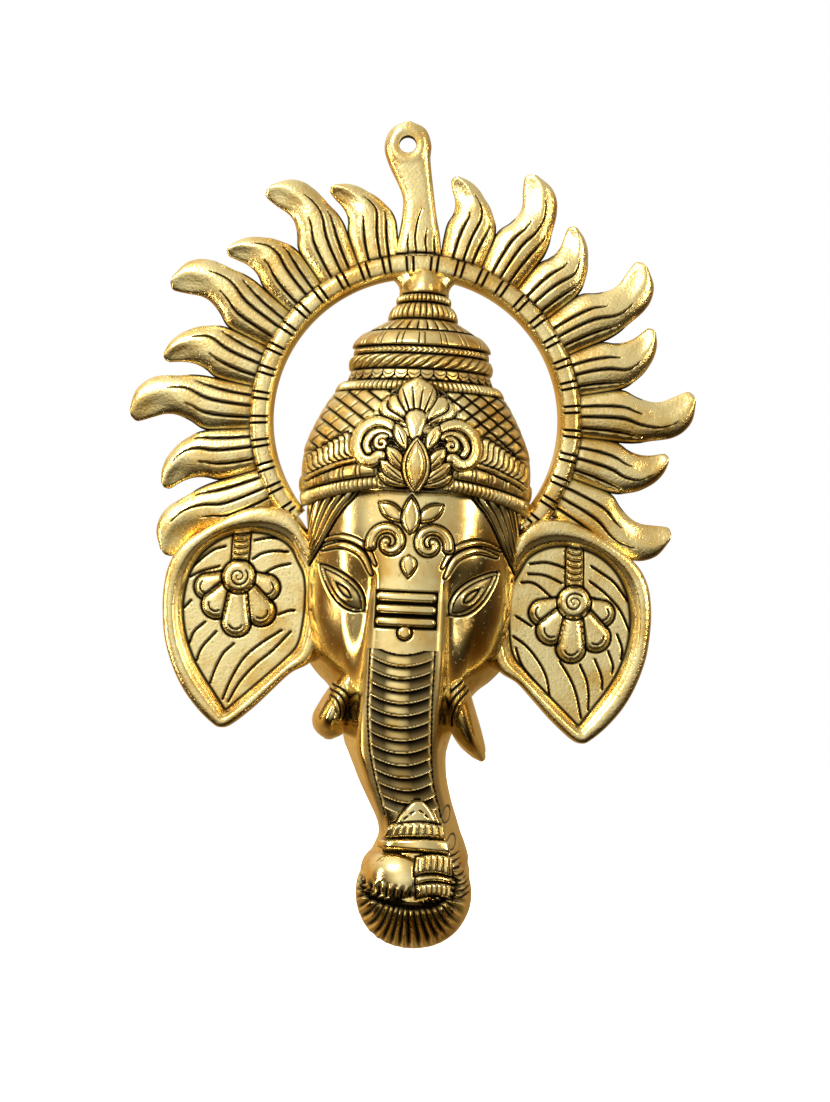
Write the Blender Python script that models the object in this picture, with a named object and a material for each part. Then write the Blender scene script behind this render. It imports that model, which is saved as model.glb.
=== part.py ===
"""Wall relief: an elephant-headed figure in a tall crown, inside a halo of flames.

It is one casting with a hollow back, hung by the eyelet over its top flame. The figure is drawn
about the centre of the halo's ring, x to the viewer's right and z up, and the whole relief is then
moved so that the eyelet's hole, on the wall plane y = 0, is the origin. The front faces -Y.
"""

import math

import bmesh
import bpy
import numpy as np

MM = 0.001

# Halo ring
RING_RADIUS = 57.0 * MM
RING_WIDTH = 9.0 * MM
RING_DEPTH = 8.0 * MM
RING_ENDS_DEG = (-42.0, 222.0)

# Flames, long and short by turns. Those at the top are shorter, and their tips sweep round further
FLAME_PITCH_DEG = 14.5
FIRST_FLAME_DEG = -25.0
FLAME_COUNT = 17
LONG_FLAME = 43.2 * MM
SHORT_FLAME = 34.2 * MM
SHORTER_AT_TOP = 4.2 * MM
LONGER_AT_LEFT = 0.9 * MM
SWEEP_AT_TOP_DEG = 2.2
FLAME_DEPTH = 6.2 * MM
FLAME_EDGE = 2.2 * MM
FLAME_OVERLAP_DEG = 0.35

# Hanging eyelet
EYELET_RADIUS = 8.6 * MM
EYELET_DEPTH = 4.6 * MM
HOLE_RADIUS = 3.2 * MM
EYELET_REACH = 39.9 * MM
HEAD_OFFSET = 7.4 * MM

# Head and crown
HEAD_DEPTH = 42.0 * MM
CROWN_DEPTH = 40.0 * MM
CROWN_ARCH = 8.0 * MM
CROWN_AXIS = 1.1 * MM
CASTING_WALL = 4.0 * MM

# Every shape is made a little deeper than the wall plane, each by its own step, and trimmed there
SPARE_BACK = 1.0 * MM
SPARE_STEP = 0.13 * MM
TUCKED_BORDER = 0.25 * MM
CORE_BEHIND = 6.0 * MM
SLAB_DEPTH = 20.0 * MM

# Ears
EAR_FIELD_DEPTH = 7.0 * MM
EAR_RIM_RISE = 4.0 * MM
FLOWER_RISE = 3.0 * MM

# Tusks
TUSK_DEPTH = 30.0 * MM

MOST_TRIANGLES = 9200
GOLD = (0.83, 0.61, 0.20, 1.0)


def table(*rows):
    """Rows of millimetres as an array in metres."""
    return np.array(rows, float) * MM


def smoothly(places, values, wanted):
    """Values at the wanted places, on a cubic through the given ones that never overshoots them."""
    x, y = np.asarray(places, float), np.asarray(values, float)
    if x[0] > x[-1]:
        x, y = x[::-1], y[::-1]
    gap = np.diff(x)
    slope = np.diff(y) / gap
    same_way = slope[:-1] * slope[1:] > 0
    total = np.where(same_way, slope[:-1] + slope[1:], 1.0)
    tangent = np.concatenate([slope[:1], np.where(same_way, 2 * slope[:-1] * slope[1:] / total, 0), slope[-1:]])
    at = np.clip(wanted, x[0], x[-1])
    i = np.clip(np.searchsorted(x, at, side="right") - 1, 0, len(gap) - 1)
    t = (at - x[i]) / gap[i]
    rise = y[i] * (1 + 2 * t) * (1 - t) ** 2 + y[i + 1] * t**2 * (3 - 2 * t)
    return rise + gap[i] * (tangent[i] * t * (1 - t) ** 2 - tangent[i + 1] * t**2 * (1 - t))


def curve_through(points, count, closed=False):
    """Points evenly spaced in parameter along a smooth curve through the given ones."""
    p = np.asarray(points, float)
    before, after = (p[-1:], p[:2]) if closed else (2 * p[:1] - p[1:2], 2 * p[-1:] - p[-2:-1])
    q = np.concatenate([before, p, after])
    spans = len(p) if closed else len(p) - 1
    at = np.linspace(0, spans, count, endpoint=not closed)
    i = np.minimum(at.astype(int), spans - 1)
    t = (at - i)[:, None]
    a, b, c, d = q[i], q[i + 1], q[i + 2], q[i + 3]
    return 0.5 * (2 * b + (c - a) * t + (2 * a - 5 * b + 4 * c - d) * t**2 + (3 * b - a - 3 * c + d) * t**3)


def dome(distance, reach):
    """A half-round: 1 in the middle, 0 from its reach outwards."""
    return np.sqrt(np.clip(1 - (distance / reach) ** 2, 0, 1))


def near_line(x, z, line):
    """Distance from each place to a line of points, and the share of the way along it."""
    line = np.asarray(line, float)
    lengths = np.hypot(*np.diff(line, axis=0).T)
    total, passed = lengths.sum(), 0.0
    best = np.full(np.shape(x), np.inf)
    share = np.zeros(np.shape(x))
    for (ax, az), (bx, bz), length in zip(line[:-1], line[1:], lengths):
        t = np.clip(((x - ax) * (bx - ax) + (z - az) * (bz - az)) / length**2, 0, 1)
        distance = np.hypot(x - ax - t * (bx - ax), z - az - t * (bz - az))
        nearer = distance < best
        best = np.where(nearer, distance, best)
        share = np.where(nearer, (passed + t * length) / total, share)
        passed += length
    return best, share


def leaf(x, z, base, tip, width, belly=1.0):
    """A leaf from base to tip: 1 on its midline, 0 at its edge. A belly over 1 is fuller near the tip."""
    (bx, bz), (tx, tz) = base, tip
    length = math.hypot(tx - bx, tz - bz)
    ux, uz = (tx - bx) / length, (tz - bz) / length
    s = ((x - bx) * ux + (z - bz) * uz) / length
    t = ((x - bx) * uz - (z - bz) * ux) / (width / 2)
    half = np.sin(math.pi * np.clip(s, 0, 1) ** belly)
    return np.sqrt(np.clip(1 - (t / np.maximum(half, 1e-6)) ** 2, 0, 1)) * (half > 1e-6)


def spiral(centre, start_radius, end_radius, start_deg, turn_deg, count=24):
    """Points along a spiral about a centre."""
    angle = np.radians(np.linspace(start_deg, start_deg + turn_deg, count))
    radius = np.linspace(start_radius, end_radius, count)
    return np.stack([centre[0] + radius * np.cos(angle), centre[1] + radius * np.sin(angle)], 1)


def carve(grid, rise):
    """The grid's points moved out along its own surface normals by the rise at each."""
    down, across = np.gradient(grid, axis=0), np.gradient(grid, axis=1)
    normal = np.cross(down, across)
    normal /= np.maximum(np.linalg.norm(normal, axis=2, keepdims=True), 1e-12)
    normal *= np.where(normal[:, :, 1:2] > 0, -1, 1)
    return grid + normal * rise[:, :, None]


def solid_from_grid(name, grid, wraps=False, back=0.0):
    """A closed solid whose front is the grid. Its border drops to the plane y = back, where it is flat."""
    rows, columns = grid.shape[:2]
    bm = bmesh.new()
    points = [[bm.verts.new(p) for p in row] for row in grid]
    for i in range(rows - 1):
        for j in range(columns if wraps else columns - 1):
            k = (j + 1) % columns
            bm.faces.new((points[i][j], points[i][k], points[i + 1][k], points[i + 1][j]))
    bmesh.ops.remove_doubles(bm, verts=bm.verts, dist=1e-7)
    border = [e for e in bm.edges if e.is_boundary]
    skirt = bmesh.ops.extrude_edge_only(bm, edges=border)["geom"]
    for vertex in (g for g in skirt if isinstance(g, bmesh.types.BMVert)):
        vertex.co.y = back
    bmesh.ops.remove_doubles(bm, verts=bm.verts, dist=1e-6)
    bmesh.ops.edgeloop_fill(bm, edges=[e for e in bm.edges if e.is_boundary])
    bmesh.ops.recalc_face_normals(bm, faces=bm.faces)
    mesh = bpy.data.meshes.new(name)
    bm.to_mesh(mesh)
    bm.free()
    return bpy.data.objects.new(name, mesh)


# Halo

def ring():
    """The half-round band that carries the flames, with its pairs of turned grooves."""
    angle = np.radians(np.linspace(*RING_ENDS_DEG, 150))[:, None]
    across = np.linspace(-1, 1, 9)[None, :]
    radius = RING_RADIUS + across * RING_WIDTH / 2
    height = RING_DEPTH * (0.45 + 0.55 * np.sqrt(1 - across**2 * 0.96)) + 0 * angle
    return np.stack([radius * np.cos(angle), -height, radius * np.sin(angle)], 2)


# Edges of a flame from its root to its tip: degrees from its middle, and the share of its length.
LONG_CLOCKWISE_EDGE = (
    (-7.25, -0.05), (-7.3, 0.20), (-7.4, 0.38), (-7.1, 0.50), (-6.4, 0.60), (-5.9, 0.70), (-5.2, 0.80),
    (-3.8, 0.89), (-1.4, 0.965), (2.2, 1.0)
)
LONG_OTHER_EDGE = (
    (7.25, -0.05), (7.2, 0.20), (6.9, 0.37), (4.6, 0.49), (3.2, 0.60), (3.0, 0.70), (3.7, 0.80), (4.4, 0.89),
    (4.6, 0.945), (3.8, 0.985)
)
SHORT_CLOCKWISE_EDGE = (
    (-7.25, -0.05), (-7.3, 0.20), (-7.3, 0.40), (-6.9, 0.53), (-5.9, 0.63), (-4.7, 0.73), (-3.3, 0.81),
    (-1.3, 0.90), (1.2, 0.97), (3.6, 1.0)
)
SHORT_OTHER_EDGE = (
    (7.25, -0.05), (7.2, 0.20), (6.8, 0.40), (5.3, 0.52), (4.6, 0.62), (4.5, 0.72), (4.8, 0.81), (5.3, 0.89),
    (5.5, 0.94), (5.0, 0.985)
)


def flame(number, rows=28, columns=9):
    """One flame, a pillow between its two edges that thins towards the tip."""
    is_long = number % 2 == 0
    middle = FIRST_FLAME_DEG + FLAME_PITCH_DEG * number
    height_share = max(math.sin(math.radians(middle)), 0) ** 2
    length = LONG_FLAME if is_long else SHORT_FLAME
    length -= SHORTER_AT_TOP * height_share + LONGER_AT_LEFT * math.cos(math.radians(middle))
    edges = (LONG_CLOCKWISE_EDGE, LONG_OTHER_EDGE) if is_long else (SHORT_CLOCKWISE_EDGE, SHORT_OTHER_EDGE)
    first, second = (curve_through(edge, rows) for edge in edges)
    share = np.linspace(0, 1, rows)[:, None]
    spread = FLAME_OVERLAP_DEG * np.clip(1 - share * 2, 0, 1)
    sweep = SWEEP_AT_TOP_DEG * height_share * np.clip(share * 2.2 - 0.5, 0, 1)
    v = np.linspace(0, 1, columns)[None, :]
    angle = np.radians(middle + first[:, :1] * (1 - v) + second[:, :1] * v + spread * (2 * v - 1) + sweep)
    radius = RING_RADIUS + RING_WIDTH / 2 + length * (first[:, 1:] * (1 - v) + second[:, 1:] * v)
    crest = FLAME_DEPTH * (1 - 0.45 * share**2)
    height = FLAME_EDGE + (crest - FLAME_EDGE) * dome(2 * v - 1, 1.0)
    return np.stack([radius * np.cos(angle), -height, radius * np.sin(angle)], 2)


def eyelet_middle():
    """The centre of the eyelet's hole, about the ring's centre."""
    return -HEAD_OFFSET, RING_RADIUS + RING_WIDTH / 2 + EYELET_REACH


def eyelet_flame(rows=26, columns=9):
    """The top flame, whose tip widens into the eyelet."""
    cx, cz = eyelet_middle()
    root = RING_RADIUS + RING_WIDTH / 2
    rise = cz - root
    left = [(-10.8 * MM, root - 1.5 * MM), (-9.3 * MM, root + 0.17 * rise), (-8.3 * MM, root + 0.38 * rise),
            (-8.9 * MM, root + 0.56 * rise), (cx - 0.82 * EYELET_RADIUS, cz - 0.75 * EYELET_RADIUS),
            (cx - EYELET_RADIUS, cz), (cx - 0.72 * EYELET_RADIUS, cz + 0.70 * EYELET_RADIUS),
            (cx - 0.12 * EYELET_RADIUS, cz + EYELET_RADIUS)]
    right = [(6.9 * MM, root - 1.5 * MM), (6.0 * MM, root + 0.17 * rise), (4.2 * MM, root + 0.38 * rise),
             (2.9 * MM, root + 0.58 * rise), (cx + 1.0 * EYELET_RADIUS, cz - 0.60 * EYELET_RADIUS),
             (cx + EYELET_RADIUS, cz + 0.1 * EYELET_RADIUS),
             (cx + 0.72 * EYELET_RADIUS, cz + 0.74 * EYELET_RADIUS), (cx + 0.12 * EYELET_RADIUS, cz + EYELET_RADIUS)]
    first, second = curve_through(left, rows), curve_through(right, rows)
    v = np.linspace(0, 1, columns)[None, :, None]
    place = first[:, None] * (1 - v) + second[:, None] * v
    crest = np.linspace(FLAME_DEPTH, EYELET_DEPTH, rows)[:, None]
    height = FLAME_EDGE + (crest - FLAME_EDGE) * dome(2 * v[:, :, 0] - 1, 1.0) ** 0.6
    return np.stack([place[:, :, 0], -height, place[:, :, 1]], 2)


# Crown: from the finial down, each tier's top and bottom, its half-width there, and its swell.
CROWN_TIERS = (
    # kind, top z, bottom z, half-width at top, at bottom, swell
    ("cap", 54.8, 45.6, 1.2, 8.6, 1.6),
    ("ribs", 45.6, 42.2, 8.8, 9.6, 0.9),
    ("ribs", 42.2, 36.2, 9.9, 12.6, 1.1),
    ("petals", 36.2, 31.7, 12.8, 20.0, 0.0),
    ("plain", 31.7, 25.5, 20.2, 25.2, 1.6),
    ("rope", 25.5, 22.6, 24.4, 24.8, 0.5),
    ("rope", 22.6, 17.0, 24.8, 25.6, 1.4),
    ("petals", 17.0, 13.0, 25.4, 27.2, 0.0),
    ("ribs", 13.0, 8.9, 28.4, 31.0, 1.0),
    ("lattice", 8.9, -13.5, 31.0, 41.6, 1.6),
    ("ferns", -13.5, -22.5, 41.6, 42.2, 0.4),
    ("plain", -22.5, -28.5, 42.4, 42.2, 0.9),
    ("ribs", -28.5, -34.0, 42.2, 41.0, 0.9),
)
# Levels of the hollow inside the crown, and the crown's least half-width at each
CORE_LEVELS = (24.0, 9.0, 3.0, -6.0, -14.0, -24.0)
CORE_HALVES = (23.0, 30.0, 34.0, 38.0, 40.5, 40.0)
FOREHEAD_SHARE = 0.8
# Rows on each tier, ribs across the half-crown, and the front's depth as shares of the crown's.
TIER_ROWS = {"cap": 8, "ribs": 5, "petals": 5, "plain": 5, "rope": 5, "lattice": 24, "ferns": 8}
RIBS_ACROSS = {"ribs": 26, "petals": 14, "rope": 15}
CROWN_FRONT = ((54.8, 0.33), (45.0, 0.43), (36.0, 0.49), (31.7, 0.56), (25.5, 0.68), (17.0, 0.73), (9.0, 0.78),
               (0.0, 0.87), (-10.0, 0.95), (-20.0, 1.0), (-34.0, 1.0))
LATTICE_CELL = 5.2 * MM
DOME_TOP, DOME_HEIGHT = 8.9 * MM, 42.9 * MM
# The finial's drawn top, and how far below the ring's middle line it ends, so that it runs into the ring
FINIAL_TOP, FINIAL_BELOW_RING = 54.8 * MM, 2.2 * MM


def up_to_ring(z):
    """Levels above the crown's dome, stretched so that the finial reaches a ring of any radius."""
    stretch = (RING_RADIUS - FINIAL_BELOW_RING - DOME_TOP) / (FINIAL_TOP - DOME_TOP)
    return np.where(z > DOME_TOP, DOME_TOP + (z - DOME_TOP) * stretch, z)


def crown_pattern(kind, turn, t, x, z):
    """How far one tier's carving rises or sinks, by the turn about the crown and the share down the tier."""
    if kind == "ribs":
        return 0.45 * MM * np.cos(turn * 2 * RIBS_ACROSS[kind]) * dome(2 * t - 1, 1.0)
    if kind == "petals":
        return 0.5 * MM * np.abs(np.cos(turn * RIBS_ACROSS[kind])) - 0.3 * MM
    if kind == "rope":
        return 0.55 * MM * np.cos(2 * (turn * RIBS_ACROSS[kind] + 2.2 * t)) * dome(2 * t - 1, 1.0)
    if kind == "lattice":
        lines = np.minimum(*(np.abs(((z + way * x * 0.9) / LATTICE_CELL) % 1 - 0.5) for way in (-1, 1)))
        return 0.5 * MM * np.clip(lines * 3, 0, 1)
    if kind == "ferns":
        return 0.45 * MM * np.cos(z / (0.45 * MM) * 0.8 + np.abs(x) / (0.62 * MM) * 0.5)
    return 0.0 * turn


def crown():
    """The tiered crown, half a turned form, with its carving and the palmette on its front."""
    turn = np.radians(np.linspace(-90, 90, 121))[None, :]
    parts, pattern = [], []
    for kind, top, bottom, top_half, bottom_half, swell in CROWN_TIERS:
        t = np.linspace(0.06, 0.94, TIER_ROWS[kind])[:, None]
        z = (top + (bottom - top) * t) * MM
        half = (top_half + (bottom_half - top_half) * (np.sqrt(t) if kind == "cap" else t)) * MM
        half = half + swell * MM * dome(2 * t - 1, 1.0)
        front = smoothly(*zip(*CROWN_FRONT), z / MM) * CROWN_DEPTH + swell * MM * dome(2 * t - 1, 1.0)
        arch = CROWN_ARCH * np.clip((DOME_TOP - z) / DOME_HEIGHT, 0, 1)
        x = half * np.sin(turn)
        level = up_to_ring(z) + arch * np.cos(turn) ** 2
        parts.append(np.stack([x, TUCKED_BORDER - front * np.cos(turn), level + 0 * x], 2))
        pattern.append(crown_pattern(kind, turn + 0 * t, t + 0 * turn, x, z + 0 * turn))
    grid = np.concatenate(parts)
    rise = np.concatenate(pattern) * np.clip(2.5 * np.cos(turn) - 0.3, 0, 1)
    rise = rise + palmette(grid[:, :, 0], grid[:, :, 2])
    grid[:, :, 0] += rise * np.sin(turn) + CROWN_AXIS
    grid[:, :, 1] -= rise * np.cos(turn)
    return grid


def palmette(x, z):
    """The raised ornament on the crown's front: a fan, a bulb, a lotus bud, scrolls and small leaves."""
    mm_x, mm_z = x / MM, z / MM
    rise = np.zeros(np.shape(x))
    for side in (-1, 1):
        scroll = spiral((side * 14.5, -9.5), 7.4, 2.4, 90 - side * 70, side * 400, 30)
        rise = np.maximum(rise, 1.5 * dome(near_line(mm_x, mm_z, scroll)[0], 2.0))
        for tip, width in (((10.2, 4.6), 5.5), ((5.6, 9.2), 5.0)):
            petal = leaf(mm_x, mm_z, (side * 1.2, -4.0), (side * tip[0], tip[1]), width, 1.5)
            rise = np.maximum(rise, 1.6 * petal)
        for tip, width in (((8.6, -17.0), 4.2), ((9.4, -22.6), 3.6), ((7.0, -8.0), 4.0)):
            blade = leaf(mm_x, mm_z, (side * 2.5, -24.5), (side * tip[0], tip[1]), width, 1.3)
            rise = np.maximum(rise, 1.3 * blade)
    rise = np.maximum(rise, 1.9 * leaf(mm_x, mm_z, (0, -3.0), (0.2, 12.6), 5.6, 1.5))
    rise = np.maximum(rise, 2.1 * leaf(mm_x, mm_z, (0, -10.5), (0.2, 2.0), 7.5, 1.6))
    rise = np.maximum(rise, 3.0 * leaf(mm_x, mm_z, (0.6, -27.0), (0.6, -8.6), 9.8, 0.85))
    return rise * MM


# Face and trunk: guide lines that run down the head, as rows of z, x from the middle, and height.
MIDDLE = table(
    (-22, 1.3), (-56, 1), (-80, 0.5), (-95, 0), (-105, -1), (-119, -1.8), (-129, 0.3), (-139, 3.8), (-147, 7.2),
    (-153, 8.8), (-158, 8.6), (-163, 7.4), (-172, 7.3), (-180, 6.9), (-190.6, 6.8)
)
GUIDES = (
    # middle of the forehead, the trunk and the curl
    table((-22, 0, 34), (-30, 0, 35), (-45, 0, 37), (-60, 0, 38.5), (-75, 0, 40.5), (-90, 0, 42),
          (-110, 0, 42.5), (-130, 0, 42), (-145, 0, 42), (-160, 0, 44), (-172, 0, 45), (-181, 0, 39.5),
          (-186.4, 0, 29), (-190.6, 0, 7)),
    # edge of the trunk's front
    table((-22, 9, 33.4), (-45, 9.5, 36), (-60, 10.5, 37), (-75, 11.5, 38.6), (-90, 12, 39.8), (-110, 12, 40),
          (-130, 10.5, 39.5), (-147, 9, 39), (-160, 11, 41), (-172, 12, 41), (-181, 10, 35.5), (-186.4, 6.5, 26),
          (-190.6, 2, 6.5)),
    # foot of the trunk, beside the eyes
    table((-22, 19, 30), (-40, 20, 32), (-52, 16.5, 33.5), (-62, 14.5, 33), (-75, 15, 32.5), (-90, 15.5, 33),
          (-110, 15.3, 33), (-130, 13.3, 32), (-147, 12, 32), (-160, 15, 34), (-172, 16.5, 33), (-181, 14, 28.5),
          (-186.4, 9, 21), (-190.6, 3, 5)),
    # crest of the cheek
    table((-22, 29, 24), (-40, 29, 25.5), (-52, 27, 27.5), (-62, 25, 27.5), (-75, 24, 27.5), (-88, 22.5, 26.5),
          (-97, 20, 26), (-110, 17.8, 24), (-130, 15, 22), (-147, 13.6, 22), (-160, 17.2, 24), (-172, 19, 23),
          (-181, 16.2, 20), (-186.4, 10.8, 14), (-190.6, 4, 3.5)),
    # turn of the side
    table((-22, 37, 14), (-40, 37, 15), (-55, 36.5, 16), (-70, 35.5, 17), (-82, 33.5, 16), (-92, 29, 15),
          (-99, 24.5, 14), (-110, 20, 13), (-130, 16.3, 12), (-147, 14.5, 12), (-160, 18.3, 12), (-172, 20.1, 12),
          (-181, 17, 11), (-186.4, 11.5, 8), (-190.6, 4.6, 2.5)),
    # outline on the wall plane
    table((-22, 39.5, 0), (-40, 39.3, 0), (-55, 38.8, 0), (-70, 38.1, 0), (-82, 37.2, 0), (-90, 35.8, 0),
          (-95, 32, 0), (-99, 27.6, 0), (-105, 23.8, 0), (-110, 22, 0), (-119, 19.3, 0), (-129, 16.9, 0),
          (-139, 15.6, 0), (-147, 14.9, 0), (-152, 14.9, 0), (-157, 16.6, 0), (-161, 18.9, 0), (-166, 20.2, 0),
          (-172, 20.5, 0), (-179, 19.2, 0), (-184, 15.7, 0), (-188.2, 10, 0), (-190.6, 5, 0)),
)
GUIDE_DEPTH = 42.5 * MM
# The head's top, where its levels close up to round the curl under, its foot, and the foot of its hollow
HEAD_TOP, CURL_ROUNDS, CURL_FOOT, HOLLOW_TOP, HOLLOW_FOOT = -22.0, -148.0, -190.6, -18.0, -181.0
FACE_LEVELS, CURL_LEVELS, FACE_COLUMNS = 105, 48, 93


def face_grid(levels, columns, shrink=0.0):
    """The uncarved head from brow to curl at the given levels, or its hollow with the wall taken off."""
    half_columns = columns // 2 + 1
    grid = np.empty((len(levels), columns, 3))
    middle = smoothly(MIDDLE[:, 0], MIDDLE[:, 1], levels)
    rails = [(smoothly(g[:, 0], g[:, 1], levels), smoothly(g[:, 0], g[:, 2], levels)) for g in GUIDES]
    for i, level in enumerate(levels):
        section = np.array([(x[i], h[i]) for x, h in rails])
        section = np.concatenate([section[1:2] * (-1, 1), section])
        half = curve_through(section, 8 * half_columns)
        half = half[half[:, 0] >= 0]
        length = np.concatenate([[0], np.cumsum(np.hypot(*np.diff(half, axis=0).T))])
        even = np.linspace(0, length[-1], half_columns)
        x = np.interp(even, length, half[:, 0])
        h = np.interp(even, length, half[:, 1]) * HEAD_DEPTH / GUIDE_DEPTH
        x[0], h[-1] = 0, -TUCKED_BORDER
        x, h = x * (1 - shrink / x[-1]), h - shrink
        grid[i, :, 0] = middle[i] + np.concatenate([-x[:0:-1], x])
        grid[i, :, 1] = -np.concatenate([h[:0:-1], h])
        grid[i, :, 2] = level
    return grid


# Carving of the face, in millimetres: lines and shapes seen from the front, right side of a pair.
BROW = ((13.0, -57.5), (16.5, -50.6), (22.5, -47.8), (27.5, -48.2), (32.0, -50.2))
EYE_INNER, EYE_OUTER = (15.6, -69.6), (32.4, -54.2)
BAR_LEVELS = (-64.5, -69.0, -73.4)
FOLD_TOP, FOLD_PITCH, FOLD_COUNT = -84.0, 4.25, 13
BAND_EDGES = ((-84, -12.2, 10.6), (-101, -12.3, 10.6), (-116, -11.2, 11.0), (-127.6, -8.8, 12.0), (-140, -4.6, 15.2))
HAIR_EDGE = ((-26, 19.0), (-32, 21.5), (-38, 26.5), (-43, 31.0), (-50, 34.6), (-56, 36.8), (-60, 39.5))
CURL_MIDDLE = (7.0, -171.0)
# The folded tip's middle and its half-width and half-height
TIP_MIDDLE, TIP_HALVES = (1.0, -163.2), (11.5, 7.0)
CURL_TOP = -134.0
POT_TIERS = (
    # top z, bottom z, middle x, half-width at top, at bottom, rise, ribs across
    (-136.2, -143.8, 6.8, 0.8, 7.0, 3.0, 0),
    (-144.6, -149.2, 6.6, 8.6, 9.4, 3.4, 8),
    (-150.0, -153.8, 7.0, 10.4, 11.0, 3.8, 0),
    (-155.0, -161.0, 13.6, 5.6, 6.0, 3.6, 5),
    (-162.4, -168.6, 14.0, 5.8, 5.8, 2.6, 5),
)


def forehead_scroll(x, z):
    """A raised pair of curls with a drop above them, high on the forehead."""
    rise = np.zeros(np.shape(x))
    for side in (-1, 1):
        curl = spiral((side * 7.6, -45.4), 7.6, 2.4, 90 - side * 100, side * 330, 24)
        rise = np.maximum(rise, 1.5 * dome(near_line(x, z, curl)[0], 2.7) ** 0.7)
        rise = np.maximum(rise, 1.3 * leaf(x, z, (side * 2.0, -38.0), (side * 10.5, -32.0), 5.0, 1.2))
    rise = np.maximum(rise, 1.7 * leaf(x, z, (0, -41.0), (0, -29.0), 6.4, 0.8))
    return np.maximum(rise, 1.5 * leaf(x, z, (0, -49.0), (0, -57.5), 5.4, 0.7))


def eye(x, z):
    """An almond with raised lids and a rounded eyeball, on either side."""
    inner, outer = np.array(EYE_INNER), np.array(EYE_OUTER)
    middle, half = (inner + outer) / 2, np.linalg.norm(outer - inner) / 2
    ux, uz = (outer - inner) / (2 * half)
    s = ((np.abs(x) - middle[0]) * ux + (z - middle[1]) * uz) / half
    t = -(np.abs(x) - middle[0]) * uz + (z - middle[1]) * ux
    width = 5.2 * np.clip(1 - s**2, 0, 1) ** 0.75 * (1 - 0.28 * s)
    edge = np.abs(t) - width
    on_length = np.abs(s) < 1
    lid = 1.0 * dome(edge, 1.3) * on_length
    ball = 1.2 * dome(np.hypot(s * half + 0.8, t * 1.2), 4.6)
    sunk = np.where((edge < -0.9) & on_length, -0.9, 0.0)
    return np.where(lid > 0, lid, sunk + ball * (edge < -0.9))


def face_carving(x, z):
    """How far the face's and trunk's carving rises above the smooth head, all in millimetres."""
    rise = np.zeros(np.shape(x))
    band_left = smoothly([b[0] for b in BAND_EDGES], [b[1] for b in BAND_EDGES], z)
    band_right = smoothly([b[0] for b in BAND_EDGES], [b[2] for b in BAND_EDGES], z)
    across = (2 * x - band_left - band_right) / (band_right - band_left)
    fold = (FOLD_TOP - z + 3.2 * across**2) / FOLD_PITCH
    on_band = (np.abs(across) < 1) & (fold > 0) & (fold < FOLD_COUNT) & (z > -141)
    rise += np.where(on_band, 1.0 * (fold % 1) ** 0.8, 0) * dome(across, 1.0)
    hair_edge = smoothly([h[0] for h in HAIR_EDGE], [h[1] for h in HAIR_EDGE], z)
    strand = (np.abs(x) - hair_edge) / np.maximum(39.5 - hair_edge, 0.5)
    rise += np.where((strand > 0) & (z > -57.5), 0.6 + 0.35 * np.cos(strand * 12 * math.pi), 0)
    brow, share = near_line(np.abs(x), z, curve_through(BROW, 24))
    rise = np.maximum(rise, 1.1 * dome(brow, 1.7 * (0.55 + np.sin(math.pi * share)) / 1.3))
    rise += eye(x, z)
    rise = np.maximum(rise, forehead_scroll(x, z))
    for level in BAR_LEVELS:
        rise = np.maximum(rise, 1.2 * dome(near_line(x, z, [(-9.2, level), (9.2, level)])[0], 1.8) ** 0.6)
    return np.maximum(rise, 1.4 * dome(np.hypot(x, z + 77.2), 2.3))


def curl_carving(x, z):
    """The trunk's end: an outer turn round the bottom, the tip folded over, and the sweet pot it holds."""
    cx, cz = CURL_MIDDLE
    radius, angle = np.hypot(x - cx, z - cz), np.degrees(np.arctan2(z - cz, x - cx))
    swept = np.where(angle > 75, angle - 360, angle)
    fade = np.clip((75 - swept) / 25, 0, 1) * np.clip((swept + 215) / 25, 0, 1)
    ridges = 0.35 * np.cos(np.radians(swept) * 30)
    rise = (3.6 + ridges) * dome(radius - 13.2, 6.8) * fade - 1.2 * dome(radius, 8)
    tip = np.hypot((x - TIP_MIDDLE[0]) / TIP_HALVES[0], (z - TIP_MIDDLE[1]) / TIP_HALVES[1])
    rise = np.maximum(rise, 4.8 * dome(tip, 1.0))
    for top, bottom, middle, half_top, half_bottom, height, ribs in POT_TIERS:
        t = (z - top) / (bottom - top)
        half = half_top + (half_bottom - half_top) * np.clip(t, 0, 1)
        across = (x - middle) / half
        body = height * dome(across, 1.15) * dome(2 * t - 1, 1.02) ** 0.4
        body = body + 0.3 * np.cos(across * ribs * math.pi) * (ribs > 0) * dome(across, 1.0)
        rise = np.where((np.abs(across) < 1) & (t > 0) & (t < 1), body, rise)
    return np.where(z < CURL_TOP, rise, 0)


def head_levels(count_above, count_below):
    """Levels down the head, closer together where the curl rounds under."""
    below = CURL_ROUNDS + (CURL_FOOT - CURL_ROUNDS) * np.sin(np.linspace(0, math.pi / 2, count_below))
    return np.concatenate([np.linspace(HEAD_TOP, CURL_ROUNDS, count_above, endpoint=False), below]) * MM


def face():
    """The head from the brow to the trunk's curl."""
    grid = face_grid(head_levels(FACE_LEVELS, CURL_LEVELS), FACE_COLUMNS)
    x, z = grid[:, :, 0] / MM, grid[:, :, 2] / MM
    return carve(grid, (face_carving(x, z) + curl_carving(x, z)) * MM)


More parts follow.
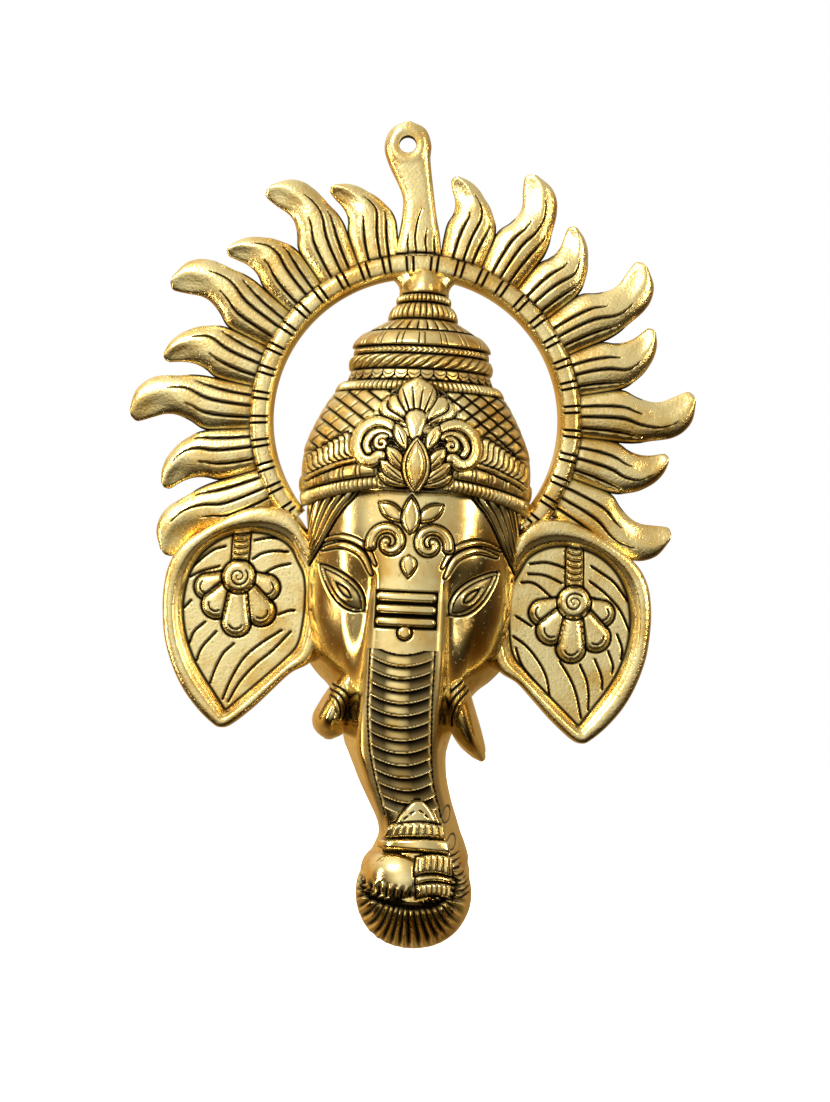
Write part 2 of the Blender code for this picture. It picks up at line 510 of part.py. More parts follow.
# Ears: outlines of the right one, from the top beside the crown round to the cheek.
EAR_OUTLINE = table(
    (38.0, -42.0), (43.0, -36.0), (49.0, -33.8), (57.0, -34.2), (66.0, -37.6), (76.0, -43.4), (84.0, -49.6),
    (88.4, -57.0), (90.0, -66.0), (89.9, -75.5), (88.6, -85.0), (85.4, -94.6), (81.2, -102.6), (75.6, -109.6),
    (70.0, -114.6), (66.6, -116.2), (62.4, -114.8), (54.6, -108.2), (47.6, -101.0), (41.6, -95.0), (34.0, -90.0),
    (31.0, -80.0), (30.0, -66.0), (32.0, -52.0)
)
EAR_FIELD = table(
    (40.4, -54.0), (43.6, -48.6), (49.6, -45.0), (56.6, -43.8), (63.6, -44.6), (70.6, -47.6), (76.4, -52.8),
    (80.2, -59.6), (82.0, -67.0), (82.2, -75.0), (80.8, -82.6), (77.8, -90.6), (74.0, -97.0), (70.0, -102.6),
    (67.0, -106.8), (64.8, -109.4), (62.0, -107.2), (56.0, -101.6), (50.0, -96.0), (44.4, -90.6), (39.4, -84.6),
    (37.6, -76.0), (37.2, -66.0), (38.0, -59.0)
)
EAR_MIDDLE = (60.0 * MM, -74.0 * MM)
# The ear leans out: its field drops by this share of the way out to its widest point
EAR_LEAN, EAR_WIDEST = 0.05, 88.0 * MM
FLOWERS = {-1: (-62.0, -60.4), 1: (61.0, -64.4)}
PETALS = ((200, 17.0), (233, 18.0), (269, 21.6), (305, 20.0), (341, 15.8))


def ear(side, columns=96):
    """One ear: a raised rim round a sunk field, with a flower hanging in it from its stem."""
    outer, inner = (curve_through(o, columns, closed=True) * (side, 1) for o in (EAR_OUTLINE, EAR_FIELD))
    middle = np.array(EAR_MIDDLE) * (side, 1)
    field = np.linspace(0, 1, 26)[:, None, None]
    rim = np.linspace(0, 1, 9)[1:, None, None]
    flat = np.concatenate([middle + (inner - middle) * field, inner + (outer - inner) * rim])
    depth = EAR_FIELD_DEPTH + EAR_LEAN * (EAR_WIDEST - np.abs(flat[:, :, 0])) * np.ones(flat.shape[:2])
    grid = np.stack([flat[:, :, 0], -depth, flat[:, :, 1]], 2)
    rise = np.zeros(flat.shape[:2])
    rise[26:] = EAR_RIM_RISE * np.sin(math.pi * np.linspace(0, 1, 9)[1:, None] * 0.86) ** 0.7
    flower = FLOWER_RISE * hanging_flower(side, flat[:, :, 0] / MM, flat[:, :, 1] / MM)
    grid[:, :, 1] -= np.maximum(rise, flower)
    return grid


def hanging_flower(side, x, z):
    """A flower of five petals under a round boss and a ringed stem, as a share of its rise."""
    cx, cz = FLOWERS[side]
    rise = np.zeros(np.shape(x))
    for degrees, length in PETALS:
        angle = math.radians(degrees)
        tip = (cx + length * math.cos(angle), cz + length * math.sin(angle))
        rise = np.maximum(rise, 0.75 * leaf(x, z, (cx, cz), tip, 10.5, 1.75))
    rise = np.maximum(rise, dome(np.hypot(x - cx, z - cz), 6.4) ** 0.7)
    stem = near_line(x, z, [(cx, cz + 5), (cx - 0.6 * side, cz + 17)])[0]
    return np.maximum(rise, (0.62 + 0.12 * np.cos(z * 2.6)) * dome(stem, 3.2))


# Tusks, as rows of x, z, half-width and height along each: the left one is broken short.
TUSKS = {
    "whole": ((18.0, -93.0, 5.4, 0.95), (19.4, -101.0, 5.5, 1.0), (21.8, -108.0, 5.0, 0.98), (25.4, -115.0, 3.9, 0.86),
              (28.6, -120.0, 2.6, 0.66), (30.6, -123.2, 1.1, 0.45)),
    "broken": ((-18.5, -94.0, 5.2, 0.92), (-21.5, -100.0, 5.2, 0.96), (-24.6, -106.5, 6.0, 0.98),
               (-25.8, -111.0, 6.4, 0.92), (-26.2, -115.0, 4.6, 0.74), (-26.4, -117.4, 1.6, 0.46)),
}


def tusk(name, rows=18, columns=11):
    """One tusk, half-round and running back to the wall plane."""
    path = curve_through(TUSKS[name], rows)
    along = np.gradient(path[:, :2], axis=0)
    along /= np.linalg.norm(along, axis=1, keepdims=True)
    v = np.radians(np.linspace(-90, 90, columns))[None, :]
    x = path[:, :1] + along[:, 1:] * path[:, 2:3] * np.sin(v)
    z = path[:, 1:2] - along[:, :1] * path[:, 2:3] * np.sin(v)
    height = TUSK_DEPTH * path[:, 3:4] * (0.3 + 0.7 * np.cos(v))
    return np.stack([x * MM, -height, z * MM], 2)


def hollow():
    """The two cores that leave the casting's wall, in the crown and in the head."""
    lower = face_grid(np.linspace(HOLLOW_TOP, HOLLOW_FOOT, 44) * MM, 25, shrink=CASTING_WALL)
    turn = np.radians(np.linspace(-90, 90, 25))[None, :]
    z = np.linspace(24.0, -24.0, 14)[:, None] * MM
    half = smoothly(CORE_LEVELS, CORE_HALVES, z / MM) * MM
    front = smoothly(*zip(*CROWN_FRONT), z / MM) * CROWN_DEPTH
    front = np.minimum(front, HEAD_DEPTH * FOREHEAD_SHARE + np.clip(z + 14 * MM, 0, 1))
    depth = front * np.cos(turn) - CASTING_WALL
    upper = np.stack([(half - CASTING_WALL) * np.sin(turn) + CROWN_AXIS, -depth, z + 0 * turn], 2)
    return upper, lower


def collection(name):
    made = bpy.data.collections.new(name)
    bpy.context.scene.collection.children.link(made)
    return made


def apply_modifiers(obj):
    """Gives the object the mesh that its modifiers make."""
    bpy.context.view_layer.update()
    mesh = bpy.data.meshes.new_from_object(obj.evaluated_get(bpy.context.evaluated_depsgraph_get()))
    obj.modifiers.clear()
    obj.data = mesh


def combine(obj, operation, others):
    """One exact Boolean of the object with every object in a collection of helpers."""
    modifier = obj.modifiers.new(operation.title(), "BOOLEAN")
    modifier.operation = operation
    modifier.operand_type = "COLLECTION"
    modifier.collection = others
    modifier.solver = "EXACT"
    apply_modifiers(obj)


def drop_flaps(obj):
    """Removes the stray triangles and edges that thinning leaves hanging on a closed surface."""
    bm = bmesh.new()
    bm.from_mesh(obj.data)
    flaps = [f for f in bm.faces if sum(e.is_boundary for e in f.edges) > 1]
    bmesh.ops.delete(bm, geom=flaps, context="FACES")
    bmesh.ops.delete(bm, geom=[e for e in bm.edges if e.is_wire], context="EDGES")
    bm.to_mesh(obj.data)
    bm.free()


def thin_out(obj, most):
    """Fewer triangles, spent where the carving is, with the back kept on the wall plane."""
    triangles = sum(len(p.vertices) - 2 for p in obj.data.polygons)
    if triangles > most:
        modifier = obj.modifiers.new("Thin", "DECIMATE")
        modifier.ratio = most / triangles
        modifier.use_collapse_triangulate = True
        apply_modifiers(obj)
        drop_flaps(obj)
    for vertex in obj.data.vertices:
        if vertex.co.y > -0.25 * MM:
            vertex.co.y = 0.0


def helper(obj, group):
    """Puts a shape that only adds to or cuts the casting in its group, out of the render."""
    group.objects.link(obj)
    obj.hide_render = True
    obj.display_type = "WIRE"
    return obj


def gold():
    made = bpy.data.materials.new("antique_gold_plate")
    made.use_nodes = True
    shader = made.node_tree.nodes["Principled BSDF"]
    shader.inputs["Base Color"].default_value = GOLD
    shader.inputs["Metallic"].default_value = 1.0
    shader.inputs["Roughness"].default_value = 0.3
    return made


def behind_wall():
    """A slab behind the wall plane, which trims the shapes to one flat back."""
    bpy.ops.mesh.primitive_cube_add(size=1, location=(0, SLAB_DEPTH / 2, -40 * MM), scale=(0.4, SLAB_DEPTH, 0.6))
    return unlinked(bpy.context.object)


def nail_hole():
    """The hole through the eyelet, wider than its wall on both sides."""
    cx, cz = eyelet_middle()
    bpy.ops.mesh.primitive_cylinder_add(vertices=24, radius=HOLE_RADIUS, depth=4 * EYELET_DEPTH,
                                        location=(cx, -EYELET_DEPTH / 2, cz), rotation=(math.pi / 2, 0, 0))
    return unlinked(bpy.context.object)


def unlinked(obj):
    """The object out of every collection, with its scale in its mesh."""
    bpy.ops.object.transform_apply(location=False, rotation=False, scale=True)
    for group in list(obj.users_collection):
        group.objects.unlink(obj)
    return obj


def main():
    for obj in list(bpy.data.objects):
        bpy.data.objects.remove(obj)
    shown, shapes, cores, drills = (collection(n) for n in ("flame_halo_relief", "shapes", "cores", "drills"))

    grids = {"ring": ring(), "crown": crown(), "eyelet_flame": eyelet_flame()}
    grids |= {f"flame_{n}": flame(n) for n in range(FLAME_COUNT) if n != FLAME_COUNT // 2}
    grids |= {f"ear_{side}": ear(side) for side in (-1, 1)}
    grids |= {f"tusk_{name}": tusk(name) for name in TUSKS}
    for number, (name, grid) in enumerate(grids.items()):
        back = SPARE_BACK + number * SPARE_STEP
        helper(solid_from_grid(name, grid, wraps=name.startswith("ear"), back=back), shapes)
    for name, grid in zip(("crown_core", "head_core"), hollow()):
        helper(solid_from_grid(name, grid, back=CORE_BEHIND), cores)
    helper(behind_wall(), cores)
    helper(nail_hole(), drills)

    relief = solid_from_grid("relief_casting", face(), back=SPARE_BACK / 2)
    shown.objects.link(relief)
    combine(relief, "UNION", shapes)
    combine(relief, "DIFFERENCE", cores)
    thin_out(relief, MOST_TRIANGLES)
    combine(relief, "DIFFERENCE", drills)

    relief.data.materials.append(gold())
    cx, cz = eyelet_middle()
    relief.location = (-cx, 0, -cz)


main()
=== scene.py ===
"""Wall relief of an elephant-headed figure in a halo of flames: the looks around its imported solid.

The relief is one gilded casting. Its carving is drawn here in millimetres about the centre of the
halo's ring, x to the viewer's right and z up, as in the part's source, and each piece is then moved
so that the eyelet's hole on the wall plane is the origin. The front faces -Y.
"""

import math

import bmesh
import bpy
import numpy as np
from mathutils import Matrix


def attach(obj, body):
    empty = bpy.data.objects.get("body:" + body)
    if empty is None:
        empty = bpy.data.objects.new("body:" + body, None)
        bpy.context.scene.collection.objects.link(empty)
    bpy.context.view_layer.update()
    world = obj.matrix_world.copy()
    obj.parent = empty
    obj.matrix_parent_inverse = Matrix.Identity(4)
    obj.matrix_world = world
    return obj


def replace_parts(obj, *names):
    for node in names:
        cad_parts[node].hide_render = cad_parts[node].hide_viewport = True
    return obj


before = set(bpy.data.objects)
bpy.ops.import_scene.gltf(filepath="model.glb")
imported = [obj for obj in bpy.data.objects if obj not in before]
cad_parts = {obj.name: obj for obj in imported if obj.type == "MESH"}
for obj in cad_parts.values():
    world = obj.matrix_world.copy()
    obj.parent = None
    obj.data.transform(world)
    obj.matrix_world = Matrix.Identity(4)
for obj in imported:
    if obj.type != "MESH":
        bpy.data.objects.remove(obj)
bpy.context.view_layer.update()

bl_info = {
    "name": "Flame halo relief",
    "version": (1, 0, 0),
    "blender": (4, 5, 0),
    "location": "3D View > Sidebar > Relief",
    "description": "Builds a gilded wall relief of an elephant-headed figure and its studio",
    "category": "Add Mesh",
}

MM = 0.001
NODE = "relief_casting"
HOLE = np.array([-7.4, 0.0, 101.4])


# Sizes and colours a user would change

class ReliefSizes(bpy.types.PropertyGroup):
    ring_radius: bpy.props.FloatProperty(
        name="Ring radius", description="Radius of the halo ring's middle line", default=57 * MM,
        unit="LENGTH")
    ring_width: bpy.props.FloatProperty(
        name="Ring width", description="Width of the halo ring seen from the front", default=9 * MM,
        unit="LENGTH")
    ring_depth: bpy.props.FloatProperty(
        name="Ring depth", description="How far the halo ring stands off the wall", default=8 * MM,
        unit="LENGTH")
    flame_depth: bpy.props.FloatProperty(
        name="Flame depth", description="How far a flame's crest stands off the wall", default=6.2 * MM,
        unit="LENGTH")
    eyelet_radius: bpy.props.FloatProperty(
        name="Eyelet radius", description="Outer radius of the hanging eyelet", default=8.6 * MM,
        unit="LENGTH")
    hole_radius: bpy.props.FloatProperty(
        name="Hole radius", description="Radius of the hole that takes the nail", default=3.2 * MM,
        unit="LENGTH")
    groove_depth: bpy.props.FloatProperty(
        name="Groove depth", description="Depth of the engraved lines", default=0.55 * MM, unit="LENGTH")


class ReliefColours(bpy.types.PropertyGroup):
    gold: bpy.props.StringProperty(
        name="Gold", description="Gilding where it is rubbed bright, as sRGB hex", default="#EBDBA2")
    amber: bpy.props.StringProperty(
        name="Amber", description="Gilding under its warm lacquer, as sRGB hex", default="#D6B366")
    # This dark colour is also laid as painted shade in the trunk's folds, beside the trunk, in the eyes and
    # the hole
    patina_and_shade: bpy.props.StringProperty(
        name="Patina", description="Dark wash left in the carving, as sRGB hex", default="#140D07")


def sizes():
    return bpy.context.scene.relief_sizes


def colours():
    return bpy.context.scene.relief_colours


# Curves and distances, in millimetres

def smoothly(places, values, wanted):
    """Values at the wanted places, on a cubic through the given ones that never overshoots them."""
    x, y = np.asarray(places, float), np.asarray(values, float)
    if x[0] > x[-1]:
        x, y = x[::-1], y[::-1]
    gap = np.diff(x)
    slope = np.diff(y) / gap
    same_way = slope[:-1] * slope[1:] > 0
    total = np.where(same_way, slope[:-1] + slope[1:], 1.0)
    inner = np.where(same_way, 2 * slope[:-1] * slope[1:] / total, 0)
    tangent = np.concatenate([slope[:1], inner, slope[-1:]])
    at = np.clip(wanted, x[0], x[-1])
    i = np.clip(np.searchsorted(x, at, side="right") - 1, 0, len(gap) - 1)
    t = (at - x[i]) / gap[i]
    rise = y[i] * (1 + 2 * t) * (1 - t) ** 2 + y[i + 1] * t**2 * (3 - 2 * t)
    return rise + gap[i] * (tangent[i] * t * (1 - t) ** 2 - tangent[i + 1] * t**2 * (1 - t))


def curve_through(points, count, closed=False):
    """Points evenly spaced in parameter along a smooth curve through the given ones."""
    p = np.asarray(points, float)
    before, after = (p[-1:], p[:2]) if closed else (2 * p[:1] - p[1:2], 2 * p[-1:] - p[-2:-1])
    q = np.concatenate([before, p, after])
    spans = len(p) if closed else len(p) - 1
    at = np.linspace(0, spans, count, endpoint=not closed)
    i = np.minimum(at.astype(int), spans - 1)
    t = (at - i)[:, None]
    a, b, c, d = q[i], q[i + 1], q[i + 2], q[i + 3]
    return 0.5 * (2 * b + (c - a) * t + (2 * a - 5 * b + 4 * c - d) * t**2 + (3 * b - a - 3 * c + d) * t**3)


def unit(value):
    """The value, held between 0 and 1."""
    return np.clip(value, 0, 1)


def swell(distance, reach):
    """A rounded profile: 1 in the middle, falling by the square of the distance to 0 at its reach."""
    return unit(1 - (distance / reach) ** 2)


def dome(distance, reach):
    """A half-round: 1 in the middle, 0 from its reach outwards."""
    return np.sqrt(swell(distance, reach))


def hump(distance, reach):
    """A soft bump: 1 in the middle, 0 from its reach outwards."""
    return swell(distance, reach) ** 2


def near_line(x, z, line, reach):
    """Distance from each place to a line of points, up to the reach, and the share of the way along it."""
    line = np.asarray(line, float)
    best, share = np.full(x.shape, 1e3), np.zeros(x.shape)
    low, high = line.min(0) - reach, line.max(0) + reach
    near = (x > low[0]) & (x < high[0]) & (z > low[1]) & (z < high[1])
    px, pz = x[near], z[near]
    lengths = np.hypot(*np.diff(line, axis=0).T)
    total, passed = lengths.sum(), 0.0
    distance, along = np.full(px.shape, 1e3), np.zeros(px.shape)
    for (ax, az), (bx, bz), length in zip(line[:-1], line[1:], lengths):
        t = unit(((px - ax) * (bx - ax) + (pz - az) * (bz - az)) / length**2)
        d = np.hypot(px - ax - t * (bx - ax), pz - az - t * (bz - az))
        nearer = d < distance
        distance = np.where(nearer, d, distance)
        along = np.where(nearer, (passed + t * length) / total, along)
        passed += length
    best[near], share[near] = distance, along
    return best, share


def mirrored(line, side, axis=0.0):
    """A line drawn to the right of an axis, put on the side that is asked for."""
    return [(axis + side * a, b) for a, b in line]


def inside_loop(x, z, loop):
    """Distance to a closed line of points, above 0 inside it and below 0 outside."""
    loop = np.asarray(loop, float)
    closed = np.concatenate([loop, loop[:1]])
    distance, _ = near_line(x, z, closed, 6.0)
    odd = np.zeros(x.shape, bool)
    for (ax, az), (bx, bz) in zip(closed[:-1], closed[1:]):
        if az != bz:
            odd ^= ((az > z) != (bz > z)) & (x < (bx - ax) * (z - az) / (bz - az) + ax)
    return np.where(odd, distance, -distance)


def inside_leaf(x, z, base, tip, width, belly=1.0):
    """Distance in from the edge of a leaf, below 0 outside. A belly over 1 is fuller near the tip."""
    (bx, bz), (tx, tz) = base, tip
    length = math.hypot(tx - bx, tz - bz)
    ux, uz = (tx - bx) / length, (tz - bz) / length
    s = ((x - bx) * ux + (z - bz) * uz) / length
    t = np.abs((x - bx) * uz - (z - bz) * ux)
    half = width / 2 * np.sin(math.pi * unit(s) ** belly) ** 0.75
    beyond = np.maximum(-s, s - 1) * length
    return np.where(beyond > 0, -np.hypot(beyond, t), half - t)


def spiral(centre, start_radius, end_radius, start_deg, turn_deg, count=40):
    """Points along a spiral about a centre."""
    angle = np.radians(np.linspace(start_deg, start_deg + turn_deg, count))
    radius = np.linspace(start_radius, end_radius, count)
    return np.stack([centre[0] + radius * np.cos(angle), centre[1] + radius * np.sin(angle)], 1)


def wobble(number, amount=1.0):
    """A small steady irregularity, as of work done by hand: the same for the same number."""
    return amount * math.sin(12.9898 * number + 0.7 * math.sin(78.233 * number))


class Carving:
    """Work on a surface seen from the front: how far each point stands out, and how dark its patina and
    painted shade are.
    """

    def __init__(self, x, z):
        self.x, self.z = x, z
        self.rise = np.zeros(x.shape)
        self.dark = np.zeros(x.shape)

    def cut(self, profile, depth):
        """Sinks the surface by a profile of 0 to 1, and leaves the dark wash in it."""
        self.rise = self.rise - depth * profile
        self.dark = np.maximum(self.dark, unit(profile * 1.5))

    def groove(self, line, width=0.75, depth=None, pointed=True):
        """An engraved line. A pointed one narrows to nothing at its far end."""
        depth = sizes().groove_depth / MM if depth is None else depth
        distance, share = near_line(self.x, self.z, line, width)
        taper = np.clip(1.15 - share**2, 0.3, 1) if pointed else 1.0
        self.cut(swell(distance, width * taper / 2 + 0.12), depth)

    def emboss(self, inside, height, rounding, outline=0.75, base=0.0):
        """A raised shape with a rounded edge and a dark line round its foot, over what was there."""
        body = base + height * dome(1 - unit(inside / rounding), 1.0)
        foot = swell(inside + outline * 0.45, outline * 0.62)
        self.cut(np.where(inside < 0.12, foot, 0), 0.4)
        self.rise = np.where(inside > 0, body, self.rise)
        self.dark = np.where(inside > 0.12, 0, self.dark)


# Meshes from grids of points

def mesh_piece(name, points, faces, dark, material, crease_deg=50):
    """A piece of the relief from points in millimetres, with its patina and painted shade as one attribute.
    """
    mesh = bpy.data.meshes.new(name)
    mesh.from_pydata((points - HOLE) * MM, [], faces)
    wash_and_shade = mesh.attributes.new("patina_and_shade", "FLOAT", "POINT")
    wash_and_shade.data.foreach_set("value", unit(dark).astype(np.float32))
    obj = bpy.data.objects.new(name, mesh)
    bpy.context.scene.collection.objects.link(obj)
    bm = bmesh.new()
    bm.from_mesh(mesh)
    bmesh.ops.remove_doubles(bm, verts=bm.verts, dist=1e-3 * MM)
    bmesh.ops.recalc_face_normals(bm, faces=bm.faces)
    bm.to_mesh(mesh)
    bm.free()
    return finished(obj, material, crease_deg)


def finished(obj, material, crease_deg=50):
    """Smooth shading, its metal, and its place on the casting."""
    bpy.ops.object.select_all(action="DESELECT")
    obj.select_set(True)
    bpy.context.view_layer.objects.active = obj
    bpy.ops.object.shade_smooth_by_angle(angle=math.radians(crease_deg))
    obj.data.materials.clear()
    obj.data.materials.append(material)
    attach(obj, "root")
    return obj


def quads(rows, columns, start=0, wraps=False):
    """The faces of a grid of points, row by row."""
    i, j = np.meshgrid(np.arange(rows - 1), np.arange(columns if wraps else columns - 1), indexing="ij")
    k = (j + 1) % columns
    corners = np.stack([i * columns + j, i * columns + k, (i + 1) * columns + k, (i + 1) * columns + j], 2)
    return corners.reshape(-1, 4) + start


def border(rows, columns, start=0):
    """The numbers of the points round a grid's edge, in order, and their share of the way round."""
    index = np.arange(rows * columns).reshape(rows, columns) + start
    sides = (index[0, :-1], index[:-1, -1], index[-1, :0:-1], index[:0:-1, 0])
    share = [k + np.linspace(0, 1, len(side), endpoint=False) for k, side in enumerate(sides)]
    return np.concatenate(sides), np.concatenate(share)


# How far each kind of piece's back stands off the wall, so that no two backs lie in one plane
BACK_RECESS = {"halo": 0.0, "eyelet": 0.12, "crown": 0.2, "flame": 0.3, "ear_rim": 0.5, "ear_field": 0.62,
               "tusk": 0.74, "finial": 0.86}


def side_name(side):
    return "right" if side > 0 else "left"


def back_points(name, points):
    """The points dropped to the piece's flat back."""
    recess = next(value for kind, value in BACK_RECESS.items() if name.startswith(kind))
    # Neighbouring flames overlap at their roots
    if name.startswith("flame") and int(name[-2:]) % 2:
        recess += 0.1
    return points * (1, 0, 1) - np.array([0, recess, 0])


def slab(name, grid, dark, material, wraps=False, crease_deg=50):
    """A closed piece with the grid as its front, flat sides and a flat back near the wall plane."""
    rows, columns = grid.shape[:2]
    points = grid.reshape(-1, 3)
    if wraps:
        loops = [np.arange(columns) + (rows - 1) * columns, np.arange(columns)]
    else:
        loops = [border(rows, columns)[0]]
    faces = quads(rows, columns, wraps=wraps).tolist()
    backs, count = [], len(points)
    for loop in loops:
        turned = np.roll(np.arange(len(loop)), -1)
        faces += np.stack([loop, loop[turned], count + turned, count + np.arange(len(loop))], 1).tolist()
        backs.append(back_points(name, points[loop]))
        count += len(loop)
    if wraps:
        outer, inner = np.arange(columns) + len(points), np.arange(columns) + len(points) + columns
        faces += np.stack([outer, np.roll(outer, -1), np.roll(inner, -1), inner], 1).tolist()
    else:
        faces.append((np.arange(len(loops[0])) + len(points)).tolist())
    points = np.concatenate([points] + backs)
    dark = np.concatenate([dark.reshape(-1), np.zeros(count - dark.size)])
    return mesh_piece(name, points, faces, dark, material, crease_deg)


def shell(name, outer, dark, inner, material, crease_deg=50):
    """A closed hollow piece between two grids, joined round their edges."""
    a, b = outer.reshape(-1, 3), inner.reshape(-1, 3)
    faces = quads(*outer.shape[:2]).tolist() + quads(*inner.shape[:2], start=len(a)).tolist()
    (loop, share), (within, part) = border(*outer.shape[:2]), border(*inner.shape[:2], start=len(a))
    i = j = 0
    while i < len(loop) or j < len(within):
        next_i = share[i + 1] if i + 1 < len(loop) else 4.0
        next_j = part[j + 1] if j + 1 < len(within) else 4.0
        here, there = loop[i % len(loop)], within[j % len(within)]
        if j >= len(within) or (i < len(loop) and next_i <= next_j):
            faces.append((here, loop[(i + 1) % len(loop)], there))
            i += 1
        else:
            faces.append((here, within[(j + 1) % len(within)], there))
            j += 1
    dark = np.concatenate([dark.reshape(-1), np.full(len(b), 0.25)])
    return mesh_piece(name, np.concatenate([a, b]), faces, dark, material, crease_deg)


def carved(grid, rise):
    """The grid's points moved out along its own surface normals by the rise at each."""
    normal = np.cross(np.gradient(grid, axis=0), np.gradient(grid, axis=1))
    normal /= np.maximum(np.linalg.norm(normal, axis=2, keepdims=True), 1e-9)
    normal *= np.where(normal[:, :, 1:2] > 0, -1, 1)
    return grid + normal * rise[:, :, None]


# Materials

def linear(hex_colour):
    """An sRGB hex colour as linear RGBA."""
    values = [int(hex_colour[i:i + 2], 16) / 255 for i in (1, 3, 5)]
    return [v / 12.92 if v <= 0.04045 else ((v + 0.055) / 1.055) ** 2.4 for v in values] + [1.0]


def add_node(tree, kind, settings=None, values=None, links=None):
    """A node with its settings, the values of its sockets, and what is linked to them."""
    node = tree.nodes.new(kind)
    for name, value in (settings or {}).items():
        setattr(node, name, value)
    for name, value in (values or {}).items():
        node.inputs[name].default_value = value
    for name, source in (links or {}).items():
        tree.links.new(source, node.inputs[name])
    return node


def ramp(tree, factor, *stops):
    """A colour ramp with stops of (place, linear colour)."""
    node = add_node(tree, "ShaderNodeValToRGB", links={"Fac": factor})
    elements = node.color_ramp.elements
    while len(elements) < len(stops):
        elements.new(0.5)
    for element, (place, colour) in zip(elements, stops):
        element.position = place
        element.color = colour
    return node


def gilded_casting(name, pebble_mm, pebble_height, roughness):
    """Antique gold plate over cast aluminium alloy, in one of its surface textures.

    Cast in sand, plated, washed with a dark patina and rubbed bright: so it is a warm metal with soft
    pitting from the mould, amber where the lacquer lies thicker, and nearly black in the engraved lines.
    """
    existing = bpy.data.materials.get(name)
    if existing:
        return existing
    made = bpy.data.materials.new(name)
    made.use_nodes = True
    tree = made.node_tree
    shader = tree.nodes["Principled BSDF"]
    shader.inputs["Metallic"].default_value = 1.0
    place = add_node(tree, "ShaderNodeTexCoord").outputs["Object"]
    # This attribute holds the dark wash in the carving and also painted shade on folds, trunk sides, eyes
    # and hole
    wash_and_shade = add_node(tree, "ShaderNodeAttribute", {"attribute_name": "patina_and_shade"}).outputs["Fac"]
    # Lacquer pools in patches about 14 mm across, and the mould's grain is pebble_mm across.
    pools = add_node(tree, "ShaderNodeTexNoise", {"noise_dimensions": "3D"},
                     {"Scale": 1000 / 14, "Detail": 3.0, "Roughness": 0.6}, {"Vector": place})
    grain = add_node(tree, "ShaderNodeTexNoise", {"noise_dimensions": "3D"},
                     {"Scale": 1000 / pebble_mm, "Detail": 2.0, "Roughness": 0.55}, {"Vector": place})
    gold, amber, patina_and_shade = linear(colours().gold), linear(colours().amber), linear(colours().patina_and_shade)
    lacquer = ramp(tree, pools.outputs["Fac"], (0.42, gold), (0.66, amber))
    # Specks of wash stay in the deepest pits of the grain.
    pits = add_node(tree, "ShaderNodeMapRange", values={"From Min": 0.36, "From Max": 0.30, "To Max": 0.45},
                    links={"Value": grain.outputs["Fac"]})
    soiled_and_shaded = add_node(tree, "ShaderNodeMath", {"operation": "MAXIMUM"})
    tree.links.new(pits.outputs["Result"], soiled_and_shaded.inputs[0])
    tree.links.new(wash_and_shade, soiled_and_shaded.inputs[1])
    colour = add_node(tree, "ShaderNodeMix", {"data_type": "RGBA"})
    tree.links.new(soiled_and_shaded.outputs[0], colour.inputs[0])
    tree.links.new(lacquer.outputs["Color"], colour.inputs[6])
    colour.inputs[7].default_value = patina_and_shade
    tree.links.new(colour.outputs[2], shader.inputs["Base Color"])
    rough = add_node(tree, "ShaderNodeMapRange", values={"To Min": roughness, "To Max": 0.75},
                     links={"Value": soiled_and_shaded.outputs[0]})
    tree.links.new(rough.outputs["Result"], shader.inputs["Roughness"])
    bump = add_node(tree, "ShaderNodeBump", values={"Strength": 1.0, "Distance": pebble_height * MM},
                    links={"Height": grain.outputs["Fac"]})
    tree.links.new(bump.outputs["Normal"], shader.inputs["Normal"])
    return made


def rubbed_gold():
    """The figure's smooth skin: polished by hand, with only faint pitting."""
    return gilded_casting("rubbed_gilded_casting", pebble_mm=1.8, pebble_height=0.03, roughness=0.18)


def pebbled_gold():
    """The halo and the ears: left as cast, with the mould's pebbled grain."""
    return gilded_casting("pebbled_gilded_casting", pebble_mm=1.1, pebble_height=0.17, roughness=0.26)


# Halo

RING_ENDS_DEG = (-42.0, 222.0)
RING_PAIR_DEG, RING_GAP_DEG = 8.8, 2.4
FLAME_PITCH_DEG, FIRST_FLAME_DEG, FLAME_COUNT = 14.5, -25.0, 17
LONG_FLAME, SHORT_FLAME, SHORTER_AT_TOP, LONGER_AT_LEFT = 43.2, 34.2, 4.2, 0.9
SWEEP_AT_TOP_DEG, FLAME_OVERLAP_DEG = 2.2, 0.35
FLAME_WIDTH, FLAME_EDGE = 16.0, 2.2
EYELET_DEPTH, EYELET_REACH = 4.6, 39.9

# Edges of a flame from its root to its tip: degrees from its middle, and the share of its length
LONG_CLOCKWISE_EDGE = (
    (-7.25, -0.05), (-7.3, 0.20), (-7.4, 0.38), (-7.1, 0.50), (-6.4, 0.60), (-5.9, 0.70), (-5.2, 0.80),
    (-3.8, 0.89), (-1.4, 0.965), (2.2, 1.0)
)
LONG_OTHER_EDGE = (
    (7.25, -0.05), (7.2, 0.20), (6.9, 0.37), (4.6, 0.49), (3.2, 0.60), (3.0, 0.70), (3.7, 0.80), (4.4, 0.89),
    (4.6, 0.945), (3.8, 0.985)
)
SHORT_CLOCKWISE_EDGE = (
    (-7.25, -0.05), (-7.3, 0.20), (-7.3, 0.40), (-6.9, 0.53), (-5.9, 0.63), (-4.7, 0.73), (-3.3, 0.81),
    (-1.3, 0.90), (1.2, 0.97), (3.6, 1.0)
)
SHORT_OTHER_EDGE = (
    (7.25, -0.05), (7.2, 0.20), (6.8, 0.40), (5.3, 0.52), (4.6, 0.62), (4.5, 0.72), (4.8, 0.81), (5.3, 0.89),
    (5.5, 0.94), (5.0, 0.985)
)
